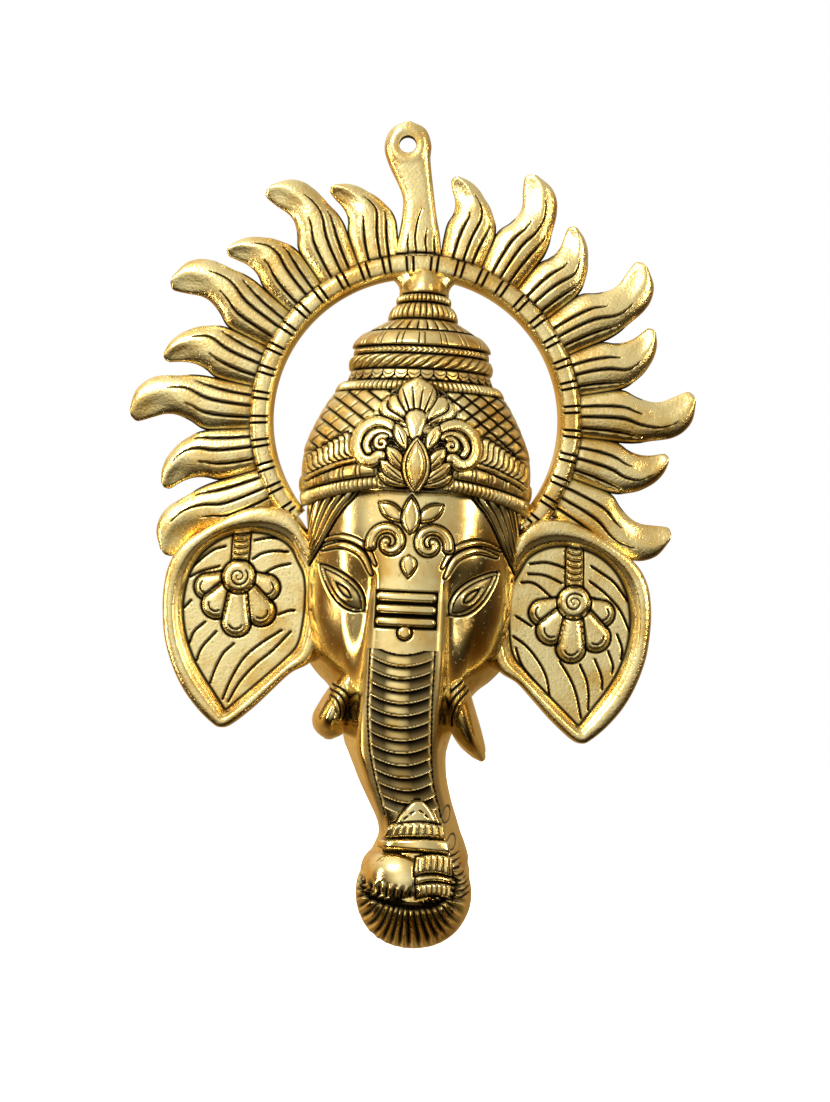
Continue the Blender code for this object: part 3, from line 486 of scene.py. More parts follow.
# Engraved lines up a flame, as share of its length and share of its width from the clockwise edge
FLAME_LINES = (
    ((0.02, 0.47), (0.16, 0.44), (0.32, 0.37), (0.46, 0.31), (0.62, 0.33)),
    ((0.02, 0.72), (0.12, 0.70), (0.24, 0.66), (0.38, 0.64)),
    ((0.02, 0.24), (0.12, 0.22), (0.24, 0.18), (0.34, 0.14)),
)


def ring_edge():
    """The radius of the ring's outer edge, where the flames stand."""
    return (sizes().ring_radius + sizes().ring_width / 2) / MM


def ring_lines():
    """The angles of the engraved lines across the ring, in pairs."""
    first = np.arange(RING_ENDS_DEG[0] + 3, RING_ENDS_DEG[1], RING_PAIR_DEG)
    return np.array([a + wobble(a, 0.35) + side for a in first for side in (0, RING_GAP_DEG)])


def halo_ring():
    lines = ring_lines()
    near = (lines[:, None] + np.linspace(-0.6, 0.6, 9)[None, :]).ravel()
    degrees = np.unique(np.round(np.concatenate([np.arange(*RING_ENDS_DEG, 0.9), near]), 2))
    width, depth, radius = (sizes().ring_width / MM, sizes().ring_depth / MM, sizes().ring_radius / MM)
    across = np.sin(np.radians(np.linspace(-90, 90, 27)))[None, :]
    angle = np.radians(degrees)[:, None]
    height = depth * (0.42 + 0.58 * (1 - np.abs(across) ** 3) ** 0.6) + 0 * angle
    nearest = np.abs(degrees[:, None] - lines[None, :]).min(1)[:, None]
    notch = swell(nearest, 0.58) * unit((across + 0.72) / 0.25)
    edge = swell(across - 0.93, 0.08)
    r = radius + across * width / 2
    grid = np.stack([r * np.cos(angle), -(height - 0.6 * notch), r * np.sin(angle)], 2)
    return slab("halo_ring", grid, np.maximum(notch * 1.4, edge + 0 * notch), pebbled_gold())


def flame(number, rows=64, columns=49):
    """One flame, a pillow between two edges that thins towards its tip, with lines rising from the ring."""
    is_long = number % 2 == 0
    middle = FIRST_FLAME_DEG + FLAME_PITCH_DEG * number
    height_share = max(math.sin(math.radians(middle)), 0) ** 2
    length = LONG_FLAME if is_long else SHORT_FLAME
    length -= SHORTER_AT_TOP * height_share + LONGER_AT_LEFT * math.cos(math.radians(middle))
    edges = (LONG_CLOCKWISE_EDGE, LONG_OTHER_EDGE) if is_long else (SHORT_CLOCKWISE_EDGE, SHORT_OTHER_EDGE)
    first, second = (curve_through(edge, rows) for edge in edges)
    share = np.linspace(0, 1, rows)[:, None]
    spread = FLAME_OVERLAP_DEG * unit(1 - share * 2)
    sweep = SWEEP_AT_TOP_DEG * height_share * unit(share * 2.2 - 0.5)
    v = np.linspace(0, 1, columns)[None, :]
    angle = np.radians(middle + first[:, :1] * (1 - v) + second[:, :1] * v + spread * (2 * v - 1) + sweep)
    radius = ring_edge() + length * (first[:, 1:] * (1 - v) + second[:, 1:] * v)
    depth = sizes().flame_depth / MM
    crest = depth * (1 - 0.42 * share**2)
    height = FLAME_EDGE + (crest - FLAME_EDGE) * (1 - np.abs(2 * v - 1) ** 2.2) ** 0.75
    # Lines are drawn in shares of the flame's length and of its mean width, both taken in millimetres
    u, w = share * length + 0 * v, v * FLAME_WIDTH + 0 * share
    work = Carving(u, w)
    for k, line in enumerate(FLAME_LINES):
        reach = 1 + wobble(number * 3 + k, 0.13)
        drawn = [(s * reach * length, (across + wobble(number + 5 * k, 0.02)) * FLAME_WIDTH)
                 for s, across in line]
        work.groove(curve_through(drawn, 14), width=1.25, depth=0.65)
    # The hooked side is dished towards the tip, and a dark line parts each flame from the next
    work.rise -= 1.0 * hump((v - 0.74) / 0.34, 1.0) * hump((share - 0.68) / 0.30, 1.0)
    valley = 0.36 + wobble(number, 0.02)
    for side in (0, 1):
        distance = np.abs(v - side) * FLAME_WIDTH + unit(share - valley) * 40
        work.cut(swell(distance, 0.75), 0.3)
    foot = swell(share * length, 0.9) + 0 * v
    work.cut(foot, 0.4)
    grid = np.stack([radius * np.cos(angle), -(height + work.rise), radius * np.sin(angle)], 2)
    return slab(f"flame_{number:02d}", grid, work.dark, pebbled_gold())


def eyelet_middle():
    return HOLE[0], ring_edge() + EYELET_REACH


def eyelet_flame(rows=90, columns=49):
    """The top flame, whose tip widens into the flat eyelet, with its hole drilled through."""
    cx, cz = eyelet_middle()
    radius = sizes().eyelet_radius / MM
    root = ring_edge()
    rise = cz - root
    left = [(-10.8, root - 1.5), (-9.3, root + 0.17 * rise), (-8.3, root + 0.38 * rise),
            (-8.9, root + 0.56 * rise), (cx - 0.82 * radius, cz - 0.75 * radius), (cx - radius, cz),
            (cx - 0.72 * radius, cz + 0.70 * radius), (cx - 0.12 * radius, cz + radius)]
    right = [(6.9, root - 1.5), (6.0, root + 0.17 * rise), (4.2, root + 0.38 * rise),
             (2.9, root + 0.58 * rise), (cx + 1.0 * radius, cz - 0.60 * radius),
             (cx + radius, cz + 0.1 * radius), (cx + 0.72 * radius, cz + 0.74 * radius),
             (cx + 0.12 * radius, cz + radius)]
    first, second = curve_through(left, rows), curve_through(right, rows)
    v = np.linspace(0, 1, columns)[None, :]
    place = first[:, None] * (1 - v[:, :, None]) + second[:, None] * v[:, :, None]
    share = np.linspace(0, 1, rows)[:, None]
    crest = sizes().flame_depth / MM * (1 - share) + EYELET_DEPTH * share
    height = FLAME_EDGE + (crest - FLAME_EDGE) * (1 - np.abs(2 * v - 1) ** 4) ** 0.5
    work = Carving(place[:, :, 0], place[:, :, 1])
    for line in (((-2.4, 61.5), (-3.2, 67), (-2.6, 73), (-1.2, 78)), ((1.4, 61.5), (0.6, 66), (1.0, 71)),
                 ((-5.4, 61.5), (-5.9, 65), (-5.7, 68)), ((4.4, 61.5), (3.9, 65), (3.9, 68))):
        work.groove(curve_through(line, 12), width=0.95, depth=0.6)
    from_ring = np.hypot(place[:, :, 0], place[:, :, 1]) - root
    work.cut(swell(from_ring, 0.9), 0.4)
    # The eyelet's rim is rubbed into a low dish round the hole
    from_hole = np.hypot(place[:, :, 0] - cx, place[:, :, 1] - cz)
    dish = 0.35 * hump(from_hole - 5.6, 2.2)
    grid = np.stack([place[:, :, 0], -(height + work.rise + dish), place[:, :, 1]], 2)
    eyelet = slab("eyelet_flame", grid, work.dark, pebbled_gold())
    bpy.ops.object.select_all(action="DESELECT")
    bpy.ops.mesh.primitive_cylinder_add(
        vertices=64, radius=sizes().hole_radius, depth=4 * EYELET_DEPTH * MM, rotation=(math.pi / 2, 0, 0))
    drill = bpy.context.object
    modifier = eyelet.modifiers.new("Hole", "BOOLEAN")
    modifier.operation = "DIFFERENCE"
    modifier.object = drill
    bpy.context.view_layer.objects.active = eyelet
    bpy.ops.object.modifier_apply(modifier=modifier.name)
    bpy.data.objects.remove(drill)
    # The hole's wall is darkened with painted shade
    wash_and_shade = eyelet.data.attributes["patina_and_shade"].data
    for vertex in eyelet.data.vertices:
        if math.hypot(vertex.co.x, vertex.co.z) < sizes().hole_radius * 1.01:
            wash_and_shade[vertex.index].value = 0.9
    return eyelet


# Crown

CROWN_DEPTH, CROWN_ARCH, CROWN_AXIS, CASTING_WALL = 40.0, 8.0, 1.1, 4.0
ARCH_TOP, CROWN_FOOT = 8.9, -34.0
# Each tier from the finial down: kind, top z, bottom z, half-width at top and bottom, bulge, rows
CROWN_TIERS = (
    ("cap", 54.8, 45.6, 1.2, 8.6, 1.6, 26),
    ("beads", 45.6, 42.2, 8.8, 9.6, 0.9, 12),
    ("ribs", 42.2, 36.2, 9.9, 12.6, 1.1, 18),
    ("fan", 36.2, 31.7, 12.8, 20.0, 0.0, 18),
    ("torus", 31.7, 25.5, 20.2, 25.2, 1.6, 22),
    ("braid", 25.5, 22.6, 24.4, 24.8, 0.5, 14),
    ("rope", 22.6, 17.0, 24.8, 25.6, 1.4, 20),
    ("scallops", 17.0, 13.0, 25.4, 27.2, 0.0, 14),
    ("bead_ribs", 13.0, 8.9, 28.4, 31.0, 1.0, 14),
    ("net", 8.9, -13.5, 31.0, 41.6, 1.6, 62),
    ("fronds", -13.5, -22.5, 41.6, 42.2, 0.4, 26),
    ("band", -22.5, -28.5, 42.4, 42.2, 0.9, 18),
    ("head_ribs", -28.5, -34.0, 42.2, 41.0, 0.9, 18),
)
# The share of the crown's depth that its front has at each level
CROWN_FRONT = ((54.8, 0.33), (45.0, 0.43), (36.0, 0.49), (31.7, 0.56), (25.5, 0.68), (17.0, 0.73),
               (9.0, 0.78), (0.0, 0.87), (-10.0, 0.95), (-20.0, 1.0), (-34.0, 1.0))
# Levels of the hollow inside the crown, and half the crown's width at each
CORE_LEVELS = (54.0, 46.0, 37.0, 31.0, 24.0, 9.0, 3.0, -6.0, -14.0, -24.0)
CORE_HALVES = (4.4, 8.0, 12.0, 19.0, 23.0, 30.0, 34.0, 38.0, 40.5, 40.0)
# Degrees round the crown from one rib to the next
RIB_DEG = {"beads": 9.0, "ribs": 10.5, "fan": 11.5, "torus": 18.5, "braid": 4.4, "rope": 9.0,
           "scallops": 10.0, "bead_ribs": 3.5, "band": 9.5, "head_ribs": 2.5}
# Below its top the forehead stands in front of the crown's hollow, with this share of the head's depth
FOREHEAD_SHARE, FOREHEAD_TOP, HEAD_DEPTH = 0.8, -14.0, 42.0
ORNAMENT_AXIS = 0.8
# The dark line between two tiers, and the share of the dark wash left all over the crown's fine work
TIER_LINE = 0.72
CROWN_WASH = 0.06


def bars(turn, pitch, sharp=1.0):
    """Rounded ribs across a tier, 1 on each rib and 0 between."""
    return np.abs(np.cos(math.pi * turn / pitch)) ** sharp


def tier_work(kind, turn, t, x, z):
    """One tier's carving and patina, by degrees round the crown, the share down the tier and the place."""
    pitch = RIB_DEG.get(kind, 1.0)
    ends = dome(2 * t - 1, 1.0)
    rise, dark = np.zeros(x.shape), np.zeros(x.shape)
    if kind in ("beads", "ribs", "bead_ribs", "head_ribs"):
        rib = bars(turn, pitch, 0.8)
        rise = 1.3 * rib * ends - 0.6
        dark = unit(1.45 - 2.2 * rib)
    elif kind == "fan":
        rib = bars(turn, pitch, 0.8)
        wedge = unit(1.2 - rib * (1.4 + 1.3 * t))
        rise, dark = 1.2 * rib * np.sqrt(t) - 0.3, unit(wedge * 3.2 * t)
    elif kind in ("torus", "band"):
        offset = (turn / pitch + 0.5) % 1 - 0.5
        gap = np.abs(np.abs(offset) * pitch - (2.4 if kind == "torus" else 1.2))
        cut = swell(gap, 0.85 if kind == "torus" else 0.6) * (t > 0.12) * (t < 0.92)
        rise, dark = 0.5 * ends - 0.6 * cut, cut
    elif kind == "braid":
        slant = np.abs(t - 0.5) * 0.9
        strand = bars(turn + slant * pitch * 2, pitch, 0.7)
        rise, dark = 0.9 * strand * ends - 0.3, unit(1.2 - 2.0 * strand)
    elif kind == "rope":
        lean = turn + (t - 0.5) * 2.1 * pitch + 1.2 * np.sin(2 * math.pi * t)
        strand = bars(lean, pitch, 0.75)
        rise, dark = 1.9 * strand * ends - 0.6, unit(1.4 - 2.2 * strand)
    elif kind == "scallops":
        across = np.abs((turn / pitch) % 1 - 0.5) * 2
        edge = t - (0.92 - 0.5 * across**2)
        rise = np.where(edge < 0, 1.2 * (1 - 0.4 * t), 0.0)
        dark = unit(1.3 - np.abs(edge - 0.06) / 0.13)
        inner = t - (0.55 - 0.4 * across**2)
        dark = np.maximum(dark, unit(1.2 - np.abs(inner) / 0.10) * (across < 0.8))
        dark = np.maximum(dark, unit(1.3 - (1 - across) / 0.18) * (t < 0.75))
    elif kind == "net":
        rise, dark = net_work(x, z)
    return rise, dark


def net_work(x, z):
    """The dome's netting: rounded lozenges on the right, slanting strips with cross ticks on the left."""
    down_right, up_right = 0.61 * x + 0.79 * z, 0.66 * x - 0.75 * z
    strip = np.abs((down_right / 4.5) % 1 - 0.5) * 2
    tick = np.abs((up_right / 5.0 + 0.5 * (np.floor(down_right / 4.5) % 2)) % 1 - 0.5) * 2
    left_cut = np.maximum(unit((strip - 0.72) / 0.14), 0.85 * unit((tick - 0.84) / 0.08))
    other = np.abs((up_right / 4.0) % 1 - 0.5) * 2
    along = np.abs((down_right / 4.0) % 1 - 0.5) * 2
    right_cut = unit((np.maximum(other, along) - 0.66) / 0.16)
    cut = np.where(x < 0, left_cut, right_cut)
    left_pillow = 0.7 * dome(strip, 1.0) + 0.25 * dome(tick, 1.0)
    pillow = np.where(x < 0, left_pillow, dome(np.hypot(other, along), 1.4))
    return pillow - 0.6 * cut, cut


def crown_turns(columns):
    """Degrees round the crown, closer together at its front."""
    u = np.linspace(-1, 1, columns)
    return 0.75 * np.degrees(np.arcsin(u)) + 0.25 * 90 * u


def crown_arch(z):
    """How far a level's front is lifted over its sides: the lower tiers arch over the forehead."""
    return CROWN_ARCH * unit((ARCH_TOP - z) / (ARCH_TOP - CROWN_FOOT))


def crown_surface(turn, z, half, bulge, t):
    """Points of the bare crown for degrees round it, levels, half-widths and bulge."""
    front = smoothly(*zip(*CROWN_FRONT), z) * CROWN_DEPTH + bulge * dome(2 * t - 1, 1.0)
    sine, cosine = np.sin(np.radians(turn)), np.cos(np.radians(turn))
    return half * sine, front * cosine, z + crown_arch(z) * cosine**2


def crown_half(kind, t, top_half, bottom_half, bulge):
    half = top_half + (bottom_half - top_half) * (np.sqrt(t) if kind == "cap" else t)
    return half + bulge * dome(2 * t - 1, 1.0)


def frond_work(x, z):
    """Feathered fronds that fan up and out from the headband on both sides of the scrolls."""
    work = Carving(x, z)
    for side in (-1, 1):
        for k in range(9):
            share = k / 8
            foot = (ORNAMENT_AXIS + side * (21.5 + 15.5 * share), -16.2 - 6.0 * share)
            tip = (foot[0] + side * 3.4, foot[1] + 7.8 - 2.6 * share)
            bend = (foot[0] + side * 2.8, foot[1] + 2.4)
            line = curve_through((foot, bend, tip), 8)
            distance, along = near_line(x, z, line, 2.0)
            work.emboss(1.3 * (0.6 + 0.4 * along) - distance, 1.1, 1.2, outline=0.8)
        stem = ((20.5, -16.6), (28, -18.6), (34, -20.9), (39.5, -23.6))
        stem = curve_through(mirrored(stem, side, ORNAMENT_AXIS), 12)
        distance, _ = near_line(x, z, stem, 2.0)
        work.emboss(0.75 - distance, 0.9, 0.7, outline=0.6)
    return work


def crown_outer(columns=321):
    turn = crown_turns(columns)[None, :]
    grids, rises, darks = [], [], []
    for kind, top, bottom, top_half, bottom_half, bulge, rows in CROWN_TIERS:
        t = np.linspace(0.03, 0.97, rows)[:, None]
        half = crown_half(kind, t, top_half, bottom_half, bulge)
        x, depth, level = crown_surface(turn, top + (bottom - top) * t, half, bulge, t)
        depth, level = depth + 0 * x, level + 0 * x
        rise, dark = tier_work(kind, turn + 0 * t, t + 0 * turn, x, level)
        # A dark line parts each tier from the next
        from_end = np.minimum(t, 1 - t) * (top - bottom) + 0 * turn
        seam = unit((TIER_LINE - from_end) / 0.35)
        dark = np.maximum(dark, seam * (kind != "net") * (t > 0.5 if kind == "cap" else 1))
        rise = rise - 0.35 * seam
        grids.append(np.stack([x, -depth, level], 2))
        rises.append(rise)
        darks.append(dark)
    grid, rise, dark = np.concatenate(grids), np.concatenate(rises), np.concatenate(darks)
    x, z = grid[:, :, 0], grid[:, :, 2]
    fronds = frond_work(x + CROWN_AXIS, z)
    on_fronds = (fronds.rise > 0.02) | (fronds.dark > 0)
    rise = np.where(on_fronds, fronds.rise, rise)
    dark = np.where(on_fronds, fronds.dark, dark)
    under = unit(ornament_plate(x + CROWN_AXIS, z) + 0.8)
    rise = rise * (1 - under) - 0.9 * under
    # The carving fades out where the sides meet the wall
    fade = unit(3 * np.cos(np.radians(turn)) - 0.25)
    rise = rise * fade
    grid[:, :, 0] += rise * np.sin(np.radians(turn)) + CROWN_AXIS
    grid[:, :, 1] -= rise * np.cos(np.radians(turn))
    grid[:, 0, 1] = grid[:, -1, 1] = -BACK_RECESS["crown"]
    return grid, np.maximum(dark * fade, CROWN_WASH)


def crown_core(columns=41):
    """The hollow inside the crown, a wall's thickness in."""
    turn = np.linspace(-90, 90, columns)[None, :]
    z = np.linspace(CORE_LEVELS[0], CORE_LEVELS[-1], 60)[:, None]
    half = np.maximum(smoothly(CORE_LEVELS, CORE_HALVES, z) - CASTING_WALL, 0.5)
    front = smoothly(*zip(*CROWN_FRONT), z) * CROWN_DEPTH
    front = np.where(z < FOREHEAD_TOP, np.minimum(front, HEAD_DEPTH * FOREHEAD_SHARE), front)
    depth = np.maximum(front * np.cos(np.radians(turn)) - CASTING_WALL, 0)
    depth[:, 0] = depth[:, -1] = BACK_RECESS["crown"]
    x = half * np.sin(np.radians(turn)) + CROWN_AXIS
    return np.stack([x, -depth, z + 0 * turn], 2)


def crown():
    grid, dark = crown_outer()
    return shell("crown", grid, dark, crown_core(), pebbled_gold())


def finial_web(side, rows=25, columns=13):
    """The metal that fills the corner between the finial and the ring, with a hollow curve below."""
    corner = ((13.8, 52.4), (11.0, 51.0), (9.4, 48.8), (8.8, 45.6))
    inside = ((12.6, 55.4), (8.4, 55.0), (5.6, 52.0), (5.4, 45.4))
    edge, inner = (curve_through(mirrored(line, side, CROWN_AXIS), rows) for line in (corner, inside))
    v = np.linspace(0, 1, columns)[None, :, None]
    place = edge[:, None] * (1 - v) + inner[:, None] * v
    ring = sizes().ring_depth / MM
    height = ring * (0.34 + 0.42 * np.sqrt(unit(1 - (1 - v[:, :, 0]) ** 2)))
    height = height + np.linspace(-0.8, 2.4, rows)[:, None]
    grid = np.stack([place[:, :, 0], -height, place[:, :, 1]], 2)
    if side < 0:
        grid = grid[:, ::-1]
    return slab(f"finial_web_{side_name(side)}", grid, 0 * height, pebbled_gold())


def crown_depth_at(x, z):
    """How far the bare crown stands off the wall at places on its front."""
    levels = np.linspace(13, CROWN_FOOT, 120)
    tiers = np.array([(tier[1], tier[3]) for tier in CROWN_TIERS] + [(CROWN_FOOT, CROWN_TIERS[-1][4])])
    half_at = smoothly(tiers[:, 0], tiers[:, 1], levels)
    front_at = smoothly(*zip(*CROWN_FRONT), levels) * CROWN_DEPTH
    level = z.copy()
    for _ in range(6):
        half = np.interp(level, levels[::-1], half_at[::-1])
        sine = np.clip((x - CROWN_AXIS) / half, -1, 1)
        level = z - crown_arch(level) * (1 - sine**2)
    return np.interp(level, levels[::-1], front_at[::-1]) * np.sqrt(1 - sine**2)


def ornament_plate(x, z):
    """Distance in from the edge of the ground that the crown's ornament stands on."""
    plate = np.full(x.shape, -9.0)
    axis = ORNAMENT_AXIS
    for side in (-1, 1):
        plate = np.maximum(plate, 9.0 - np.hypot(x - axis - side * 14.0, z + 10.2))
        spray = inside_leaf(x, z, (axis + side * 1, -27), (axis + side * 14, -17), 10, 1.2)
        plate = np.maximum(plate, spray)
    plate = np.maximum(plate, 14.6 - np.hypot(x - axis, z + 2.6))
    return np.maximum(plate, inside_leaf(x, z, (axis, -29), (axis, 4.0), 19, 1.0))


def palmette_work(x, z):
    """The ornament on the crown's front: a fan, a bulb, a lotus bud, scrolls and small leaves."""
    work = Carving(x, z)
    axis = ORNAMENT_AXIS
    for side in (-1, 1):
        for lean, reach in ((66, 17.4), (51, 17.0), (36, 16.2)):
            way = math.radians(lean)
            tip = (axis + side * reach * math.sin(way), -6.4 + reach * math.cos(way))
            base = (axis + side * 2.4 * math.sin(way), -6.4 + 2.4 * math.cos(way))
            work.emboss(inside_leaf(x, z, base, tip, 6.2, 2.6), 1.5, 2.4, base=0.5, outline=0.95)
    crest = inside_leaf(x, z, (axis - 0.3, -6.0), (axis - 0.5, 13.6), 13.4, 1.9)
    work.emboss(crest, 1.7, 3.2, base=0.6, outline=0.95)
    for lean in (-19, -6.5, 6.5, 19):
        way = math.radians(lean)
        line = [(axis - 0.4 + r * math.sin(way), -6.4 + r * math.cos(way)) for r in (8.0, 11.0, 14.5, 16.6)]
        work.groove(line, width=0.85, depth=0.5)
    for side in (-1, 1):
        scroll = ((7.6, -7.0), (10.2, -3.9), (15.2, -2.9), (19.9, -5.9), (21.6, -11.2), (19.8, -15.9),
                  (16.0, -17.2), (12.9, -15.3))
        distance, share = near_line(x, z, curve_through(mirrored(scroll, side, axis), 40), 4.0)
        work.emboss(1.7 + 0.5 * share - distance, 1.7, 1.6, base=0.8)
        band = ((9.2, -7.6), (12.4, -6.4), (15.9, -7.4), (17.9, -11.0), (16.9, -13.6))
        distance, _ = near_line(x, z, curve_through(mirrored(band, side, axis), 24), 3.0)
        work.emboss(1.15 - distance, 1.3, 1.0, base=0.7)
        eye = spiral((axis + side * 12.3, -10.6), 2.7, 0.6, 90 + side * 30, -side * 420)
        distance, _ = near_line(x, z, eye, 3.0)
        work.emboss(0.8 - distance, 1.2, 0.8, base=0.6, outline=0.6)
    leaves = (((2.4, -25.6), (13.0, -21.2), 4.4), ((2.4, -24.6), (12.6, -16.8), 4.8),
              ((2.6, -21.0), (10.4, -11.8), 4.8), ((3.4, -13.0), (7.6, -3.6), 4.4))
    for side in (-1, 1):
        for base, tip, width in leaves:
            ends = (axis + side * base[0], base[1]), (axis + side * tip[0], tip[1])
            work.emboss(inside_leaf(x, z, *ends, width, 1.3), 1.4, 1.9, base=0.7)
            vein = np.array(ends[0]) + np.outer((0.25, 0.5, 0.8), np.array(ends[1]) - np.array(ends[0]))
            work.groove(vein, width=0.5, depth=0.3)
    bulb = ((0, 1.8), (2.6, 0.9), (3.7, -1.6), (2.8, -5.0), (1.2, -8.6), (-1.2, -8.6), (-2.8, -5.0),
            (-3.7, -1.6), (-2.6, 0.9))
    bulb = [(axis - 0.6 + a, b) for a, b in bulb]
    work.emboss(inside_loop(x, z, curve_through(bulb, 40, closed=True)), 1.6, 2.6, base=1.0)
    bud = inside_leaf(x, z, (axis + 0.2, -28.0), (axis + 0.2, -8.2), 9.6, 0.95)
    work.emboss(bud, 1.2, 1.2, base=1.6)
    work.cut(swell(bud - 1.25, 0.42), 0.5)
    work.emboss(np.where(bud > 1.75, bud - 1.75, -9), 1.6, 2.4, base=2.2, outline=0.3)
    return work


def palmette():
    """The ornament as a thin piece on the crown's front, its edge let into the netting."""
    step = 0.24
    x, z = np.meshgrid(np.arange(-24.4, 26.2, step), np.arange(13.4, -27.4, -step))
    work, plate = palmette_work(x, z), ornament_plate(x, z)
    shown = (work.rise > 0.4) | (work.dark > 0.3)
    depth = crown_depth_at(x, z)
    height = depth + np.where(shown, 0.6 + work.rise * 0.9, np.clip(plate * 0.4, -2.4, 0.45) - 0.2)
    dark = np.where(shown, work.dark, unit(plate * 2))
    grid = np.stack([x, -height, z], 2)
    back = grid[::6, ::6] + np.array([0, 3.0, 0])
    return shell("crown_ornament", grid, dark, back, pebbled_gold())


# Head: the middle line's shift, then guide lines down the head as rows of z, x from the middle, and height

MIDDLE = ((-22, 1.3), (-56, 1), (-80, 0.5), (-95, 0), (-105, -1), (-119, -1.8), (-129, 0.3), (-139, 3.8),
          (-147, 7.2), (-153, 8.8), (-158, 8.6), (-163, 7.4), (-172, 7.3), (-180, 6.9), (-190.6, 6.8))
GUIDES = (
    # middle of the forehead, the trunk and the curl
    ((-22, 0, 34), (-30, 0, 35), (-45, 0, 37), (-60, 0, 38.5), (-75, 0, 40.5), (-90, 0, 42),
     (-110, 0, 42.5), (-130, 0, 42), (-145, 0, 42), (-160, 0, 44), (-172, 0, 45), (-181, 0, 39.5),
     (-186.4, 0, 29), (-190.6, 0, 7)),
    # edge of the trunk's front
    ((-22, 9, 33.4), (-45, 9.5, 36), (-60, 10.5, 37), (-75, 11.5, 38.6), (-90, 12, 39.8), (-110, 12, 40),
     (-130, 10.5, 39.5), (-147, 9, 39), (-160, 11, 41), (-172, 12, 41), (-181, 10, 35.5), (-186.4, 6.5, 26),
     (-190.6, 2, 6.5)),
    # foot of the trunk, beside the eyes
    ((-22, 19, 30), (-40, 20, 32), (-52, 16.5, 33.5), (-62, 14.5, 33), (-75, 15, 32.5), (-90, 15.5, 33),
     (-110, 15.3, 33), (-130, 13.3, 32), (-147, 12, 32), (-160, 15, 34), (-172, 16.5, 33), (-181, 14, 28.5),
     (-186.4, 9, 21), (-190.6, 3, 5)),
    # crest of the cheek
    ((-22, 29, 24), (-40, 29, 25.5), (-52, 27, 27.5), (-62, 25, 27.5), (-75, 24, 27.5), (-88, 22.5, 26.5),
     (-97, 20, 26), (-110, 17.8, 24), (-130, 15, 22), (-147, 13.6, 22), (-160, 17.2, 24), (-172, 19, 23),
     (-181, 16.2, 20), (-186.4, 10.8, 14), (-190.6, 4, 3.5)),
    # turn of the side
    ((-22, 37, 14), (-40, 37, 15), (-55, 36.5, 16), (-70, 35.5, 17), (-82, 33.5, 16), (-92, 29, 15),
     (-99, 24.5, 14), (-110, 20, 13), (-130, 16.3, 12), (-147, 14.5, 12), (-160, 18.3, 12),
     (-172, 20.1, 12), (-181, 17, 11), (-186.4, 11.5, 8), (-190.6, 4.6, 2.5)),
    # outline on the wall plane
    ((-22, 39.5, 0), (-40, 39.3, 0), (-55, 38.8, 0), (-70, 38.1, 0), (-82, 37.2, 0), (-90, 35.8, 0),
     (-95, 32, 0), (-99, 27.6, 0), (-105, 23.8, 0), (-110, 22, 0), (-119, 19.3, 0), (-129, 16.9, 0),
     (-139, 15.6, 0), (-147, 14.9, 0), (-152, 14.9, 0), (-157, 16.6, 0), (-161, 18.9, 0), (-166, 20.2, 0),
     (-172, 20.5, 0), (-179, 19.2, 0), (-184, 15.7, 0), (-188.2, 10, 0), (-190.6, 5, 0)),
)
GUIDE_DEPTH = 42.5


def head_grid(levels, columns, shrink=0.0):
    """The uncarved head at the given levels, its columns closer at the front, or its hollow when shrunk."""
    half_columns = columns // 2 + 1
    grid = np.empty((len(levels), columns, 3))
    middle = smoothly(*zip(*MIDDLE), levels)
    tables = [np.array(g) for g in GUIDES]
    rails = [(smoothly(g[:, 0], g[:, 1], levels), smoothly(g[:, 0], g[:, 2], levels)) for g in tables]
    share = np.linspace(0, 1, half_columns)
    for i, level in enumerate(levels):
        section = np.array([(x[i], h[i]) for x, h in rails])
        section = np.concatenate([section[1:2] * (-1, 1), section])
        half = curve_through(section, 8 * half_columns)
        half = half[half[:, 0] >= 0]
        length = np.concatenate([[0], np.cumsum(np.hypot(*np.diff(half, axis=0).T))])
        even = length[-1] * (0.68 * share + 0.32 * share**3)
        x = np.interp(even, length, half[:, 0])
        h = np.interp(even, length, half[:, 1]) * HEAD_DEPTH / GUIDE_DEPTH
        x[0], h[-1] = 0, 0
        x, h = x * (1 - shrink / x[-1]), np.maximum(h - shrink, 0)
        grid[i, :, 0] = middle[i] + np.concatenate([-x[:0:-1], x])
        grid[i, :, 1] = -np.concatenate([h[:0:-1], h])
        grid[i, :, 2] = level
    return grid


# The right brow's two lines, and the right eye's corners and half its width
INNER_BROW = ((31.5, -49.0), (26.4, -47.4), (22.0, -47.5), (16.6, -50.6), (13.2, -57.0))
OUTER_BROW = ((32.8, -46.6), (27.4, -44.6), (21.6, -44.6), (15.6, -47.6), (11.9, -53.6))
EYE_INNER, EYE_OUTER, EYE_HALF_WIDTH = (15.6, -70.0), (31.8, -54.6), 4.4
BAR_LEVELS = (-64.6, -68.9, -73.3)
FOLD_TOP, FOLD_PITCH, FOLD_COUNT, FOLD_SAG = -84.6, 4.35, 13, 3.4
# The trunk's two beaded lines: level, x of the left one and of the right one
BAND_EDGES = ((-80, -12.4, 10.8), (-101, -12.3, 10.6), (-116, -11.2, 11.0), (-127.6, -8.8, 12.0),
              (-141, -4.6, 15.4))
# The hair's edge: level, and how far it is from its middle line
HAIR_MIDDLE, HAIR_FOOT = 1.2, -57.0
HAIR_EDGE = ((-24, 18.6), (-29, 21.0), (-34, 25.2), (-39, 28.4), (-45, 31.6), (-51, 35.0), (-57, 38.6))


